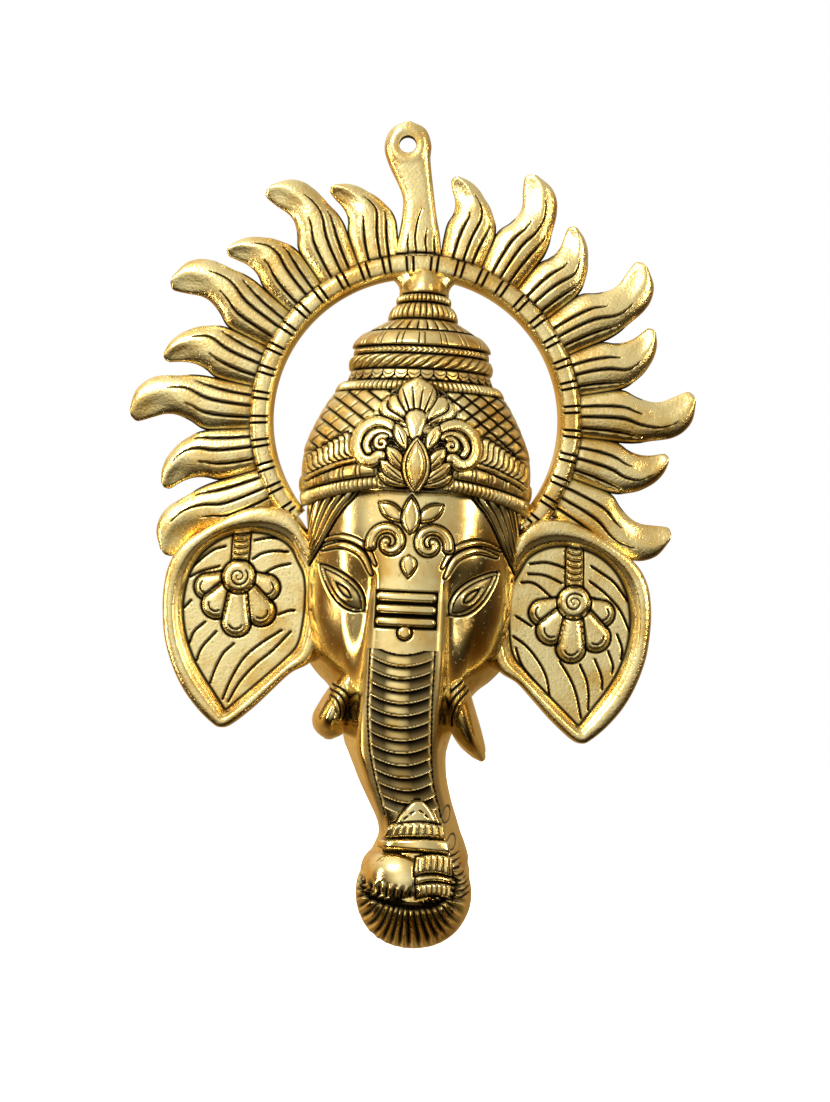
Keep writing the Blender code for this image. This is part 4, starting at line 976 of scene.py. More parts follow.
def eye_level(x, z, size=1.0):
    """Distance in from an eye's almond outline, below 0 outside. A smaller size is a line within it."""
    inner, outer = np.array(EYE_INNER), np.array(EYE_OUTER)
    middle, half = (inner + outer) / 2, np.linalg.norm(outer - inner) / 2
    ux, uz = (outer - inner) / (2 * half)
    s = ((np.abs(x) - middle[0]) * ux + (z - middle[1]) * uz) / (half * size) + (1 - size) * 0.35
    t = np.abs(-(np.abs(x) - middle[0]) * uz + (z - middle[1]) * ux)
    width = size * EYE_HALF_WIDTH * unit(1 - s**2) ** 0.72 * (1 - 0.36 * s)
    return np.where(np.abs(s) < 1, width - t, -np.hypot((np.abs(s) - 1) * half * size, t))


def eyes(work):
    """A pair of almonds with double lids, a rounded eyeball and an inner almond for the pupil."""
    x, z = work.x, work.z
    level = np.where(np.abs(x) < 40, eye_level(x, z), -9)
    work.cut(swell(level + 0.25, 0.75), 0.6)
    work.rise += 0.5 * swell(level - 0.65, 0.45)
    work.cut(swell(level - 1.35, 0.5), 0.5)
    ball = unit((level - 1.6) / 2.6)
    work.rise += 0.6 * dome(1 - ball, 1.0) * (level > 1.6)
    # Painted shade darkens the eyeball, more towards its lower corner, leaving a bright ring round the pupil
    shade_to_low_corner = unit((-64.0 - z) / 3.0)
    work.dark = np.where(level > 1.3, np.maximum(work.dark, 0.45 + 0.4 * shade_to_low_corner), work.dark)
    pupil = eye_level(x, z, 0.44)
    work.rise += 0.5 * swell(pupil + 0.1, 0.45)
    work.dark = np.where(np.abs(pupil + 0.1) < 0.36, 0.0, work.dark)
    work.cut(swell(pupil - 0.95, 0.6), 0.3)


def brows_and_hair(work):
    x, z = work.x, work.z
    for side in (-1, 1):
        for brow, widest, height, outline in ((INNER_BROW, 1.0, 0.75, 0.8), (OUTER_BROW, 0.8, 0.65, 0.75)):
            line = curve_through(mirrored(brow, side), 28)
            distance, share = near_line(x, z, line, 4.0)
            half = widest * np.sin(math.pi * unit(share * 0.9 + 0.05)) ** 0.6
            work.emboss(half - distance, height, widest, outline=outline)
    edge = smoothly(*zip(*HAIR_EDGE), z)
    strand = (np.abs(x - HAIR_MIDDLE) - edge) / np.maximum(42.0 - edge, 0.8)
    on_hair = (strand > 0) & (z > HAIR_FOOT)
    wave = np.cos(strand * 12.5 * math.pi)
    work.rise = np.where(on_hair, 0.35 + 0.5 * wave, work.rise)
    work.dark = np.where(on_hair, unit(-1.8 * wave - 0.35), work.dark)
    hairline = swell(np.abs(x - HAIR_MIDDLE) - edge, 0.55)
    work.cut(np.where(z > HAIR_FOOT - 0.5, hairline, 0), 0.4)


def forehead_curls(work):
    """A raised pair of curls with leaves above them, high on the forehead: an ornament, not a letter."""
    x, z = work.x, work.z
    for side in (-1, 1):
        work.emboss(inside_leaf(x, z, (side * 1.6, -38.0), (side * 11.4, -31.6), 5.4, 1.2), 1.3, 2.2)
        curl = spiral((side * 7.4, -45.6), 6.6, 1.2, 90 - side * 100, side * 400)
        distance, share = near_line(x, z, curl, 5.0)
        work.emboss(1.75 - 0.5 * share - distance, 1.5, 1.7, outline=0.85)
    work.emboss(inside_leaf(x, z, (0, -42.0), (0, -28.6), 6.4, 0.8), 1.7, 2.6)
    work.emboss(inside_leaf(x, z, (0, -50.0), (0, -57.6), 5.4, 0.7), 1.5, 2.2)


def brow_bars(work):
    """Three raised bars across the trunk's root, with a drop hanging under the lowest."""
    x, z = work.x + 0.2, work.z
    frame_edge = np.minimum(11.4 - np.abs(x), 6.9 - np.abs(z + 69.0))
    work.cut(unit((frame_edge + 0.2) / 0.4) * 0.95, 0.5)
    for level in BAR_LEVELS:
        inside = 1.55 - np.hypot(np.maximum(np.abs(x) - 9.0, 0), z - level)
        work.emboss(inside, 1.25, 1.3, outline=0.5)
    # Painted shade in a strip down each side of the bars, where the trunk turns back to the cheeks
    shoulder_shade = hump(np.abs(x - 0.6) - 12.3, 1.9) * unit((-60.0 - z) / 6.0)
    work.dark = np.maximum(work.dark, 0.62 * shoulder_shade)
    drop = 2.3 - np.hypot(x + 0.2, z + 77.0)
    work.emboss(np.where(z < -75.2, drop, -9), 0.9, 1.6, outline=1.0)


def trunk_folds(work):
    """The trunk's skin: a band of hanging folds with painted shade, each rising to a bright lip, between two
    beaded lines.
    """
    x, z = work.x, work.z
    levels, left, right = zip(*BAND_EDGES)
    band_left, band_right = smoothly(levels, left, z), smoothly(levels, right, z)
    across = (2 * x - band_left - band_right) / (band_right - band_left)
    fold = (FOLD_TOP - z + FOLD_SAG * across**2) / FOLD_PITCH
    on_band = (np.abs(across) < 1) & (fold > 0) & (fold < FOLD_COUNT) & (z > -142)
    p = fold % 1
    fade = unit((1 - np.abs(across)) / 0.12)
    lip = swell(p - 0.90, 0.10) ** 0.5
    work.rise = np.where(on_band, work.rise + fade * (1.5 * p**1.6 + 0.8 * lip - 0.7), work.rise)
    # Painted shade fills each fold below its lip, darker on the lower folds; the lighter middle is a painted
    # highlight
    middle = unit(1 - (across + 0.1) ** 2 / 0.16) * np.clip(1.15 - fold / 11, 0.2, 1)
    shade = unit(1.06 - 0.28 * p) * (1 - 0.80 * middle * unit((p - 0.16) / 0.3))
    shade = shade * np.clip(0.84 + fold / 20, 0, 0.99)
    shade = np.where(p > 0.83, 0, shade + unit(1 - p / 0.18))
    work.dark = np.where(on_band, np.maximum(work.dark, fade * unit(shade)), work.dark)
    border_line = np.abs(np.abs(across) - 1) * (band_right - band_left) / 2
    # Painted shade in a strip outside each beaded line, fading out towards the curl
    shoulder_shade = hump((np.abs(across) - 1) * (band_right - band_left) / 2 - 0.9, 1.9) * (np.abs(across) > 1)
    work.dark = np.maximum(work.dark, 0.62 * shoulder_shade * unit((z + 150.0) / 12.0))
    bead = 0.82 + 0.18 * np.cos(z * 2 * math.pi / 1.7)
    on_border = (z < -82.5) & (z > -142)
    work.cut(np.where(on_border, swell(border_line, 0.6) * bead, 0), 0.35)


HEAD_TOP, FACE_FOOT, TRUNK_FOOT, CURL_ROUNDS, CURL_FOOT = -20.0, -83.0, -134.0, -170.0, -190.6
HOLLOW_FOOT = -181.0


def head_part(name, levels, columns, works, inner_levels):
    """One stretch of the head as a hollow shell, carved by the works given."""
    grid = head_grid(levels, columns)
    work = Carving(grid[:, :, 0], grid[:, :, 2])
    for cut in works:
        cut(work)
    # The carving fades out where the sides meet the wall
    grid[:, :, :] = carved(grid, work.rise * unit(-grid[:, :, 1] / 4.0))
    grid[:, 0, 1] = grid[:, -1, 1] = 0
    return shell(name, grid, work.dark, head_grid(inner_levels, 41, CASTING_WALL), rubbed_gold())


def face():
    levels = np.linspace(HEAD_TOP, FACE_FOOT, 196)
    return head_part("face", levels, 341, (eyes, brows_and_hair, forehead_curls, brow_bars),
                     np.linspace(HEAD_TOP, FACE_FOOT, 30))


def trunk():
    levels = np.linspace(FACE_FOOT, TRUNK_FOOT, 176)
    return head_part("trunk", levels, 261, (trunk_folds,), np.linspace(FACE_FOOT, TRUNK_FOOT, 24))


CURL_MIDDLE, FAN_MIDDLE = (7.0, -171.0), (5.0, -160.4)
POT_TIERS = (
    # top z, bottom z, middle x, half-width at top and bottom, rise, ribs across
    (-135.6, -143.9, 6.8, 0.6, 7.0, 2.6, 0),
    (-144.6, -149.4, 6.6, 8.6, 9.6, 3.0, 9),
    (-150.4, -154.4, 6.9, 10.6, 11.0, 3.4, 0),
    (-155.6, -161.4, 13.0, 5.6, 5.8, 3.4, 6),
    (-162.2, -164.4, 13.3, 5.7, 5.7, 3.2, 0),
    (-165.2, -169.4, 13.3, 5.6, 5.2, 2.9, 7),
)


def curl_turn(work):
    """The trunk's last turn round the bottom, with wrinkles fanning across its inner side."""
    x, z = work.x, work.z
    cx, cz = CURL_MIDDLE
    radius, angle = np.hypot(x - cx, z - cz), np.degrees(np.arctan2(z - cz, x - cx))
    swept = np.where(angle > 75, angle - 360, angle)
    fade = unit((60 - swept) / 25) * unit((swept + 215) / 25)
    past = np.where(z < -171.5, np.maximum(radius - 13.2, 0), radius - 13.2)
    work.rise += 3.6 * dome(past, 6.8) * fade
    # Wrinkles fan out from under the folded tip
    fx, fz = FAN_MIDDLE
    reach, way = np.hypot(x - fx, z - fz), np.arctan2(z - fz, x - fx)
    rim = 17.5 + 9.5 * unit(-np.sin(way)) ** 1.5
    within = unit((reach - 11.2) / 0.9) * unit((rim - reach) / 4.0) * (np.sin(way) < 0.05)
    wave = np.cos(way * 52 + 0.6 * np.sin(7 * way))
    within = within * unit((22.0 - np.hypot(x - cx, z - cz)) / 5.0) ** 0.5
    work.rise += 0.95 * wave * within * unit((19.5 - np.hypot(x - cx, z - cz)) / 4.0)
    wedge = unit(-1.5 * wave + 0.2 - 0.5 * unit((reach - 13) / 12))
    work.dark = np.maximum(work.dark, wedge * within)
    crevice = curve_through(((-9.9, -166.2), (-8.4, -168.8), (-4.0, -170.9), (2.0, -171.8), (8.0, -172.0),
                             (14.4, -171.2), (17.6, -168.4)), 28)
    work.groove(crevice, width=2.2, depth=1.5, pointed=False)


def curl_tip(work):
    """The tip of the trunk folded over, smooth above and wrinkled below."""
    x, z = work.x, work.z
    shape = 1 - np.hypot((x - 0.2) / 11.0, (z + 162.4) / 7.8)
    body = 4.8 * dome(1 - unit(shape), 1.0) * unit((x + 11.2) / 2.5)
    work.rise = np.where(shape > 0, np.maximum(work.rise, body), work.rise)
    work.dark = np.where(shape > 0.03, 0, work.dark)
    low = unit((-164.4 - z - 0.10 * x) / 2.0) * unit(shape / 0.05)
    wave = np.cos((x * 0.97 - z * 0.22) * 2 * math.pi / 2.3)
    work.rise += 0.45 * wave * low
    work.dark = np.maximum(work.dark, unit(0.55 - 1.1 * wave) * low)


def sweet_pot(work):
    """The pot held in the curl: a pointed heap of sweets, ribbed and plain bands."""
    x, z = work.x, work.z
    for top, bottom, middle, half_top, half_bottom, height, ribs in POT_TIERS:
        t = (z - top) / (bottom - top)
        half = half_top + (half_bottom - half_top) * unit(t) ** (1.0 if half_top > 1 else 0.62)
        sag = 1.3 * (1 - np.clip((x - middle) / half, -1, 1) ** 2)
        t = t + sag / (top - bottom) * (1 if top < -140 else 0)
        inside = np.minimum(half - np.abs(x - middle), np.minimum(t, 1 - t) * (top - bottom))
        work.emboss(inside, 1.3, 1.4, outline=0.85, base=height - 1.0)
        if ribs:
            across = (x - middle) / half
            wave = np.cos(across * ribs * math.pi)
            on_rib = inside > 0.5
            work.rise = work.rise + np.where(on_rib, 0.35 * wave, 0)
            work.dark = np.maximum(work.dark, np.where(on_rib, unit(-2.2 * wave - 0.9), 0))
    for dash in (((3.0, -141.9), (4.0, -140.9)), ((4.7, -140.2), (5.6, -139.4)),
                 ((7.4, -139.2), (8.4, -139.9)), ((9.2, -140.7), (10.2, -141.7))):
        work.groove(dash, width=0.6)
    for place in ((17.4, -141.4), (19.6, -150.4)):
        ring = 1.0 - np.abs(np.hypot((x - place[0]) / 0.8, (z - place[1]) / 1.25) - 1.9) / 0.42
        work.cut(unit(ring) * 0.8, 0.3)
    for k in range(8):
        level = -154.6 - 2.0 * k
        start = 19.6 + 0.12 * k
        work.groove([(start, level - 0.3), (start + 3.0 + 0.25 * k, level + 0.5)], width=0.8, depth=0.45)


def curl():
    rounded = np.sin(np.linspace(0, math.pi / 2, 84))
    levels = np.concatenate([np.linspace(TRUNK_FOOT, CURL_ROUNDS, 120, endpoint=False),
                             CURL_ROUNDS + (CURL_FOOT - CURL_ROUNDS) * rounded])
    return head_part("trunk_curl", levels, 241, (trunk_folds, curl_turn, curl_tip, sweet_pot),
                     np.linspace(TRUNK_FOOT, HOLLOW_FOOT, 24))


# Ears: outlines of the right one, from the top beside the crown round to the cheek

EAR_OUTLINE = (
    (38.0, -42.0), (43.0, -36.0), (49.0, -33.8), (57.0, -34.2), (66.0, -37.6), (76.0, -43.4), (84.0, -49.6),
    (88.4, -57.0), (90.0, -66.0), (89.9, -75.5), (88.6, -85.0), (85.4, -94.6), (81.2, -102.6),
    (75.6, -109.6), (70.0, -114.6), (66.6, -116.2), (62.4, -114.8), (54.6, -108.2), (47.6, -101.0),
    (41.6, -95.0), (34.0, -90.0), (31.0, -80.0), (30.0, -66.0), (32.0, -52.0)
)
EAR_FIELD = (
    (40.4, -54.0), (43.6, -48.6), (49.6, -45.0), (56.6, -43.8), (63.6, -44.6), (70.6, -47.6), (76.4, -52.8),
    (80.2, -59.6), (82.0, -67.0), (82.2, -75.0), (80.8, -82.6), (77.8, -90.6), (74.0, -97.0),
    (70.0, -102.6), (67.0, -106.8), (64.8, -109.4), (62.0, -107.2), (56.0, -101.6), (50.0, -96.0),
    (44.4, -90.6), (39.4, -84.6), (37.6, -76.0), (37.2, -66.0), (38.0, -59.0)
)
EAR_FIELD_DEPTH, EAR_RIM_RISE = 7.0, 4.0
FLOWERS = {-1: (-62.0, -60.4), 1: (61.0, -64.4)}
PETALS = ((200, 17.0), (233, 18.0), (269, 21.6), (305, 20.0), (341, 15.8))
# Veins of each ear's field, as lines of places
EAR_VEINS = {
    -1: (
        ((-56.9, -47.0), (-51.1, -45.7), (-45.8, -46.4)),
        ((-57.2, -53.8), (-53.8, -51.6), (-49.1, -50.5), (-44.4, -50.6)),
        ((-52.3, -58.6), (-48.3, -56.3), (-43.4, -54.9)),
        ((-79.6, -58.0), (-75.4, -53.9), (-71.4, -50.9), (-67.4, -49.6)),
        ((-79.9, -61.3), (-75.7, -59.0), (-69.4, -57.0)), ((-81.6, -72.7), (-79.3, -70.0)),
        ((-79.2, -85.6), (-77.6, -81.4), (-73.7, -77.7)), ((-76.3, -91.9), (-74.5, -87.1), (-69.5, -81.0)),
        ((-70.9, -99.9), (-69.4, -95.1), (-66.7, -89.1), (-62.8, -85.1)),
        ((-66.0, -105.5), (-63.4, -98.4), (-59.1, -90.5), (-53.4, -85.0), (-45.5, -79.4)),
        ((-63.9, -106.3), (-59.9, -98.8), (-54.3, -92.1), (-48.6, -87.1), (-42.2, -79.8)),
        ((-46.9, -73.7), (-43.5, -72.3), (-41.1, -71.9)),
    ),
    1: (
        ((44.3, -51.0), (51.0, -50.3), (59.0, -52.5)), ((43.8, -54.7), (50.0, -55.0), (56.2, -57.5)),
        ((41.5, -57.9), (46.5, -58.2), (53.4, -63.4)), ((40.0, -70.4), (42.2, -71.6), (45.9, -73.8)),
        ((39.4, -77.8), (44.4, -81.2), (49.0, -86.5), (52.3, -92.5), (53.9, -100.4)),
        ((40.5, -82.0), (42.9, -88.0), (47.4, -93.3), (52.6, -98.6)),
        ((56.9, -86.2), (60.8, -92.1), (63.5, -98.1), (65.6, -106.6)),
        ((64.3, -87.1), (66.9, -92.4), (68.0, -97.9), (68.1, -103.4)),
        ((69.7, -85.0), (72.4, -91.0), (72.9, -95.8)),
        ((74.4, -81.7), (76.4, -86.5), (76.3, -89.6)), ((77.5, -75.5), (79.5, -80.3), (79.4, -84.5)),
        ((66.5, -56.4), (72.2, -60.4), (78.0, -66.3), (82.0, -74.0)),
        ((68.0, -62.5), (71.8, -65.3), (75.0, -68.2)),
        ((66.9, -50.9), (70.7, -53.2), (75.7, -56.6), (80.9, -63.1)),
    ),
}


def hanging_flower(work, side):
    """A flower of five petals under a round boss and a ringed stem."""
    x, z = work.x, work.z
    cx, cz = FLOWERS[side]
    stem = [(cx, cz + 4), (cx - 0.6 * side, cz + 18.5)]
    distance, _ = near_line(x, z, stem, 5.0)
    work.emboss(3.0 - distance, 1.6, 2.6, base=0.3)
    rings = np.cos((z - cz - 0.09 * (x - cx) ** 2) * 2 * math.pi / 2.3)
    on_stem = distance < 2.7
    work.rise += np.where(on_stem, 0.5 * rings, 0)
    work.dark = np.maximum(work.dark, np.where(on_stem, unit(-2.4 * rings - 0.9), 0))
    for degrees, length in sorted(PETALS, key=lambda p: -abs(p[0] - 270)):
        angle = math.radians(degrees)
        reach = length - 4.9
        round_end = (cx + reach * math.cos(angle), cz + reach * math.sin(angle))
        distance, along = near_line(x, z, ((cx, cz), round_end), 7.0)
        widest = 2.7 if degrees in (233, 269, 305) else 2.2
        work.emboss(2.4 + widest * along - distance, 2.3, 3.6, base=0.4, outline=1.0)
        arc = spiral(round_end, 2.6, 2.6, degrees - 65, 130, 12)
        work.groove(arc, width=0.7, depth=0.5, pointed=False)
    boss = 5.9 - np.hypot(x - cx, z - cz)
    work.emboss(boss, 2.4, 2.6, base=0.6, outline=1.0)
    work.groove(spiral((cx, cz), 3.6, 0.5, 40, 620 * side), width=0.75, depth=0.5)


def ear_depth(x):
    """How far an ear's field stands off the wall: a little further towards the head."""
    return EAR_FIELD_DEPTH + 0.05 * (88 - np.abs(x))


def ear_field(side):
    """The sunk field of one ear, with its veins and flower, running under the rim all round."""
    step = 0.34
    x, z = np.meshgrid(np.arange(33.0, 86.5, step), np.arange(-40.0, -113.5, -step))
    x = x[:, ::side] * side
    inner = curve_through(EAR_FIELD, 96, closed=True) * (side, 1)
    outer = curve_through(EAR_OUTLINE, 96, closed=True) * (side, 1)
    keep = inside_loop(x, z, inner) > -2.4
    keep &= inside_loop(x, z, outer) > 1.0
    work = Carving(x, z)
    for vein in EAR_VEINS[side]:
        work.groove(curve_through(vein, 14), width=1.05, depth=0.6, pointed=False)
    hanging_flower(work, side)
    sunk = swell(inside_loop(x, z, inner) - 0.3, 0.8)
    work.dark = np.maximum(work.dark, sunk)
    grid = np.stack([x, -(ear_depth(x) + work.rise), z], 2)
    return masked_slab(f"ear_field_{side_name(side)}", grid, keep, work.dark, pebbled_gold())


def masked_slab(name, grid, keep, dark, material):
    """A closed piece from the part of a grid that is kept, with its edge dropped to the wall plane."""
    rows, columns = grid.shape[:2]
    faces = quads(rows, columns)
    faces = faces[keep.ravel()[faces].all(1)]
    used, faces = np.unique(faces, return_inverse=True)
    faces = faces.reshape(-1, 4)
    points = grid.reshape(-1, 3)[used]
    dark = dark.ravel()[used]
    ends = np.concatenate([faces[:, [0, 1]], faces[:, [1, 2]], faces[:, [2, 3]], faces[:, [3, 0]]])
    _, first, count = np.unique(np.sort(ends, axis=1), axis=0, return_index=True, return_counts=True)
    ends = ends[first[count == 1]]
    following = dict(ends.tolist())
    loop = [ends[0, 0]]
    while following[loop[-1]] != loop[0]:
        loop.append(following[loop[-1]])
    loop = np.array(loop)
    turned = np.roll(np.arange(len(loop)), -1)
    skirt = np.stack([loop, loop[turned], len(points) + turned, len(points) + np.arange(len(loop))], 1)
    faces = faces.tolist() + skirt.tolist() + [(len(points) + np.arange(len(loop))).tolist()]
    points = np.concatenate([points, back_points(name, points[loop])])
    dark = np.concatenate([dark, np.zeros(len(loop))])
    return mesh_piece(name, points, faces, dark, material)


def ear_rim(side, columns=420, rows=26):
    """The raised rim round one ear, rounded over from the field to the outline."""
    outer, inner = (curve_through(o, columns, closed=True) * (side, 1) for o in (EAR_OUTLINE, EAR_FIELD))
    share = np.linspace(-0.06, 1, rows)[:, None, None]
    flat = inner + (outer - inner) * share
    v = unit(share[:, :, 0])
    depth = ear_depth(flat[:, :, 0])
    bead = EAR_RIM_RISE * np.sin(math.pi * v * 0.86) ** 0.7
    # A shallow channel runs along the rim inside its outer bead
    bead = bead - 0.22 * hump(v - 0.30, 0.12) - 6.0 * unit((v - 0.86) / 0.14) ** 2
    dark = 0.35 * hump(v - 0.30, 0.08) + unit(1 - v / 0.07) + 0 * depth
    grid = np.stack([flat[:, :, 0], -(depth + bead), flat[:, :, 1]], 2)
    grid[0, :, 1] = -(depth[0] - 2)
    return slab(f"ear_rim_{side_name(side)}", grid, dark, pebbled_gold(), wraps=True)


# Tusks, as rows of x, z, half-width and height along each: the left one is broken short

TUSK_DEPTH = 30.0
TUSKS = {
    "whole": ((18.0, -93.0, 5.6, 0.95), (19.2, -101.0, 5.9, 1.0), (21.6, -108.0, 5.8, 0.98),
              (24.9, -115.0, 5.0, 0.86), (28.1, -120.2, 3.4, 0.66), (30.3, -123.4, 1.4, 0.45)),
    "broken": ((-18.5, -94.0, 5.2, 0.92), (-21.5, -100.0, 5.2, 0.96), (-24.6, -106.5, 6.0, 0.98),
               (-26.0, -111.4, 6.9, 0.92), (-26.4, -115.6, 5.2, 0.74), (-26.6, -118.0, 2.0, 0.46)),
}
# The collars of folded skin, as curved lines round the inner side of each tusk
COLLARS = {
    "whole": (((21.0, -94.0), (16.4, -98.6), (14.4, -104.4), (14.9, -109.0)),
              ((22.4, -95.6), (18.2, -99.8), (16.2, -105.2), (16.5, -109.6)),
              ((23.4, -97.4), (19.9, -101.2), (18.0, -106.2), (18.1, -110.2))),
    "broken": (((-26.0, -97.4), (-22.4, -98.2), (-19.9, -100.4), (-18.6, -105.0), (-19.4, -109.6)),
               ((-26.2, -99.2), (-23.2, -100.0), (-21.3, -102.0), (-20.2, -105.6), (-20.9, -109.4)),
               ((-25.8, -101.0), (-23.9, -101.9), (-22.7, -103.8), (-21.9, -106.8), (-22.4, -109.2))),
}


def tusk(name, rows=96, columns=61):
    """One tusk, half-round and running back to the wall plane, in its collar of folded skin."""
    path = curve_through(TUSKS[name], rows)
    along = np.gradient(path[:, :2], axis=0)
    along /= np.linalg.norm(along, axis=1, keepdims=True)
    v = np.linspace(-90, 90, columns)[None, :]
    sine = np.sin(np.radians(v))
    x = path[:, :1] + along[:, 1:] * path[:, 2:3] * sine
    z = path[:, 1:2] - along[:, :1] * path[:, 2:3] * sine
    work = Carving(x, z)
    collars = [curve_through(line, 24) for line in COLLARS[name]]
    for line in collars:
        distance, _ = near_line(x, z, line, 2.0)
        work.rise = np.maximum(work.rise, 1.3 * dome(distance, 1.9))
    for line in collars:
        work.groove(line, width=0.95, depth=0.8, pointed=False)
    height = TUSK_DEPTH * path[:, 3:4] * (0.3 + 0.7 * np.cos(np.radians(v))) + work.rise
    grid = np.stack([x, -height, z], 2)
    return slab(f"tusk_{name}", grid, work.dark, rubbed_gold())


# Studio

def studio_floor():
    """A plain white table, below and behind the hanging relief."""
    bpy.ops.object.select_all(action="DESELECT")
    bpy.ops.mesh.primitive_plane_add(size=1, location=(0, 0, -0.36))
    floor = bpy.context.object
    floor.name = "studio_floor"
    floor.scale = (3.0, 3.0, 1)
    bpy.ops.object.transform_apply(location=True, rotation=False, scale=True)
    white = bpy.data.materials.new("white_matt_laminate")
    white.use_nodes = True
    shader = white.node_tree.nodes["Principled BSDF"]
    shader.inputs["Base Color"].default_value = linear("#FFFFFF")
    shader.inputs["Roughness"].default_value = 0.9
    shader.inputs["Emission Color"].default_value = linear("#FFFFFF")
    shader.inputs["Emission Strength"].default_value = 0.9
    floor.data.materials.append(white)
    floor.visible_glossy = False
    floor.visible_diffuse = False


def softbox(name, place, target, width, height, watts, tint):
    data = bpy.data.lights.new(name, "AREA")
    data.shape = "RECTANGLE"
    data.size, data.size_y = width, height
    data.energy = watts
    data.color = linear(tint)[:3]
    light = bpy.data.objects.new(name, data)
    bpy.context.scene.collection.objects.link(light)
    light.location = place
    direction = np.array(target) - np.array(place)
    flat = math.hypot(direction[0], direction[1])
    turn = math.atan2(direction[1], direction[0]) - math.pi / 2
    light.rotation_euler = (math.atan2(flat, -direction[2]), 0, turn)
    return light


def studio_world():
    """A pale tent round the relief, warm and dim at its sides, that the camera sees as plain white."""
    world = bpy.data.worlds.new("studio_tent")
    bpy.context.scene.world = world
    world.use_nodes = True
    tree = world.node_tree
    tree.nodes.clear()
    toward = add_node(tree, "ShaderNodeTexCoord").outputs["Generated"]
    axes = add_node(tree, "ShaderNodeSeparateXYZ", links={"Vector": toward}).outputs
    forward = add_node(tree, "ShaderNodeMapRange", values={"From Min": 0.6, "From Max": -1.0},
                       links={"Value": axes["Y"]}).outputs["Result"]
    # From the wall behind, past the dark gap between the table and the tent, to the tent's bright front
    tones = ((0.20, "#D0A868"), (0.38, "#7A5528"), (0.54, "#20150C"), (0.74, "#3A2E20"), (0.88, "#CFC2A6"),
             (0.965, "#FFFCF2"))
    level = ramp(tree, forward, *((place, linear(tone)) for place, tone in tones))
    overhead = add_node(tree, "ShaderNodeMapRange", values={"From Min": 0.05, "From Max": 0.75},
                        links={"Value": axes["Z"]})
    lit = add_node(tree, "ShaderNodeMix", {"data_type": "RGBA"})
    tree.links.new(overhead.outputs["Result"], lit.inputs[0])
    tree.links.new(level.outputs["Color"], lit.inputs[6])
    lit.inputs[7].default_value = linear("#FFF6E4")
    # Dimmer towards the right and down towards the table
    across = add_node(tree, "ShaderNodeMapRange", links={"Value": axes["X"]},
                      values={"From Min": -0.3, "From Max": 0.3, "To Min": 1.15, "To Max": 0.62})
    below = add_node(tree, "ShaderNodeMapRange", links={"Value": axes["Z"]},
                     values={"From Min": -0.60, "From Max": -0.04, "To Min": 0.46, "To Max": 1.0})
    share = add_node(tree, "ShaderNodeMath", {"operation": "MULTIPLY"})
    tree.links.new(across.outputs["Result"], share.inputs[0])
    tree.links.new(below.outputs["Result"], share.inputs[1])
    shaded = add_node(tree, "ShaderNodeMix", {"data_type": "RGBA", "blend_type": "MULTIPLY"})
    shaded.inputs[0].default_value = 1.0
    tree.links.new(lit.outputs[2], shaded.inputs[6])
    tree.links.new(share.outputs["Value"], shaded.inputs[7])
    seen = add_node(tree, "ShaderNodeBackground", values={"Color": linear("#FFFFFF"), "Strength": 1.0})
    tent = add_node(tree, "ShaderNodeBackground", values={"Strength": 1.1},
                    links={"Color": shaded.outputs[2]})
    ray = add_node(tree, "ShaderNodeLightPath").outputs["Is Camera Ray"]
    both = add_node(tree, "ShaderNodeMixShader", links={0: ray, 1: tent.outputs[0], 2: seen.outputs[0]})
    add_node(tree, "ShaderNodeOutputWorld", links={"Surface": both.outputs[0]})


# The camera's place and roll that match the photograph, and its focal length in the photograph's pixels
CAMERA_PLACE = (9.4 * MM, -800 * MM, -149.5 * MM)
CAMERA_ROLL_DEG = -2.6
FOCAL_PIXELS, IMAGE_HEIGHT = 2160.0, 1102


def studio_camera():
    """The photograph's view: square on, rolled a little, from 800 mm."""
    data = bpy.data.cameras.new("photograph_view")
    data.sensor_fit = "VERTICAL"
    data.sensor_height = 36.0
    data.lens = FOCAL_PIXELS * data.sensor_height / IMAGE_HEIGHT
    data.clip_start = 0.02
    camera = bpy.data.objects.new("photograph_view", data)
    bpy.context.scene.collection.objects.link(camera)
    camera.location = CAMERA_PLACE
    camera.rotation_euler = (math.pi / 2, math.radians(CAMERA_ROLL_DEG), 0)
    bpy.context.scene.camera = camera


# Operators

class RELIEF_OT_halo_ring(bpy.types.Operator):
    """Adds the halo's engraved ring"""
    bl_idname = "relief.halo_ring"
    bl_label = "Halo ring"

    def execute(self, context):
        halo_ring()
        return {"FINISHED"}


class RELIEF_OT_flames(bpy.types.Operator):
    """Adds the flames round the ring and the one that carries the eyelet"""
    bl_idname = "relief.flames"
    bl_label = "Flames"

    def execute(self, context):
        for number in range(FLAME_COUNT):
            if number != FLAME_COUNT // 2:
                flame(number)
        eyelet_flame()
        return {"FINISHED"}


class RELIEF_OT_crown(bpy.types.Operator):
    """Adds the tiered crown and the ornament on its front"""
    bl_idname = "relief.crown"
    bl_label = "Crown"

    def execute(self, context):
        crown()
        for side in (-1, 1):
            finial_web(side)
        palmette()
        return {"FINISHED"}


class RELIEF_OT_head(bpy.types.Operator):
    """Adds the face, the trunk and its curl round the sweet pot"""
    bl_idname = "relief.head"
    bl_label = "Head"

    def execute(self, context):
        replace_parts(face(), NODE)
        trunk()
        curl()
        return {"FINISHED"}


class RELIEF_OT_ears(bpy.types.Operator):
    """Adds both ears, their rims and the flowers hanging in them"""
    bl_idname = "relief.ears"
    bl_label = "Ears"

    def execute(self, context):
        for side in (-1, 1):
            ear_field(side)
            ear_rim(side)
        return {"FINISHED"}


class RELIEF_OT_tusks(bpy.types.Operator):
    """Adds the whole tusk and the broken one"""
    bl_idname = "relief.tusks"
    bl_label = "Tusks"

    def execute(self, context):
        for name in TUSKS:
            tusk(name)
        return {"FINISHED"}


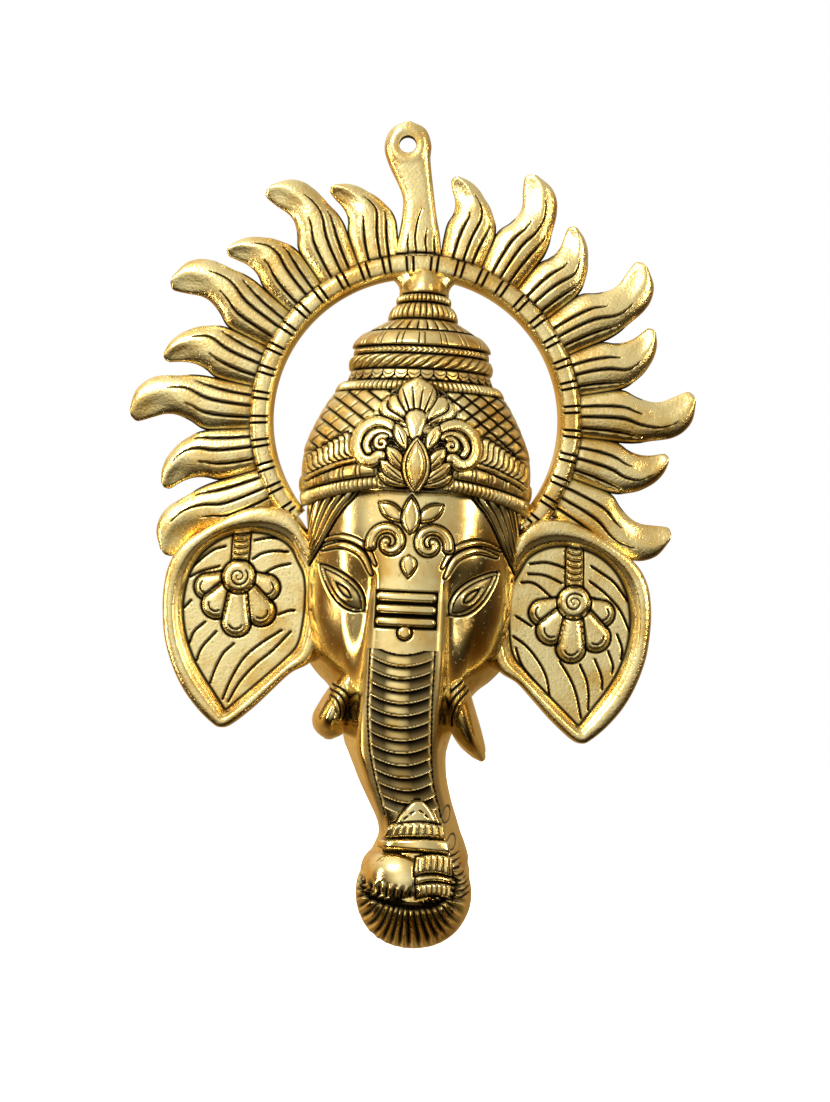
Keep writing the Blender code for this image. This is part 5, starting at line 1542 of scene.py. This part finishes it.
class RELIEF_OT_studio(bpy.types.Operator):
    """Adds the floor, the lights and the camera"""
    bl_idname = "relief.studio"
    bl_label = "Studio"

    def execute(self, context):
        studio_floor()
        studio_world()
        middle = (0.01, 0, -0.15)
        softbox("key_softbox", (-0.55, -0.75, 0.45), middle, 0.35, 0.35, 9, "#FFF8E8")
        softbox("side_softbox", (0.75, -0.55, 0.10), middle, 0.10, 0.60, 4, "#FFE9C0")
        softbox("side_strip", (-0.80, -0.35, -0.20), middle, 0.08, 0.60, 3, "#FFE9C0")
        studio_camera()
        bpy.context.scene.view_settings.view_transform = "Standard"
        return {"FINISHED"}


class RELIEF_PT_panel(bpy.types.Panel):
    """Lists the relief's pieces in the sidebar"""
    bl_idname = "RELIEF_PT_panel"
    bl_label = "Flame halo relief"
    bl_space_type = "VIEW_3D"
    bl_region_type = "UI"
    bl_category = "Relief"

    def draw(self, context):
        for group in (context.scene.relief_sizes, context.scene.relief_colours):
            for name in group.__annotations__:
                self.layout.prop(group, name)
        for operator in OPERATORS:
            self.layout.operator(operator.bl_idname)


OPERATORS = (
    RELIEF_OT_halo_ring,
    RELIEF_OT_flames,
    RELIEF_OT_crown,
    RELIEF_OT_head,
    RELIEF_OT_ears,
    RELIEF_OT_tusks,
    RELIEF_OT_studio,
)
CLASSES = (ReliefSizes, ReliefColours, *OPERATORS, RELIEF_PT_panel)


def register():
    for cls in CLASSES:
        bpy.utils.register_class(cls)
    bpy.types.Scene.relief_sizes = bpy.props.PointerProperty(type=ReliefSizes)
    bpy.types.Scene.relief_colours = bpy.props.PointerProperty(type=ReliefColours)


def unregister():
    del bpy.types.Scene.relief_colours
    del bpy.types.Scene.relief_sizes
    for cls in reversed(CLASSES):
        bpy.utils.unregister_class(cls)


def main():
    register()
    bpy.ops.relief.halo_ring()
    bpy.ops.relief.flames()
    bpy.ops.relief.crown()
    bpy.ops.relief.head()
    bpy.ops.relief.ears()
    bpy.ops.relief.tusks()
    bpy.ops.relief.studio()


if __name__ == "__main__":
    main()
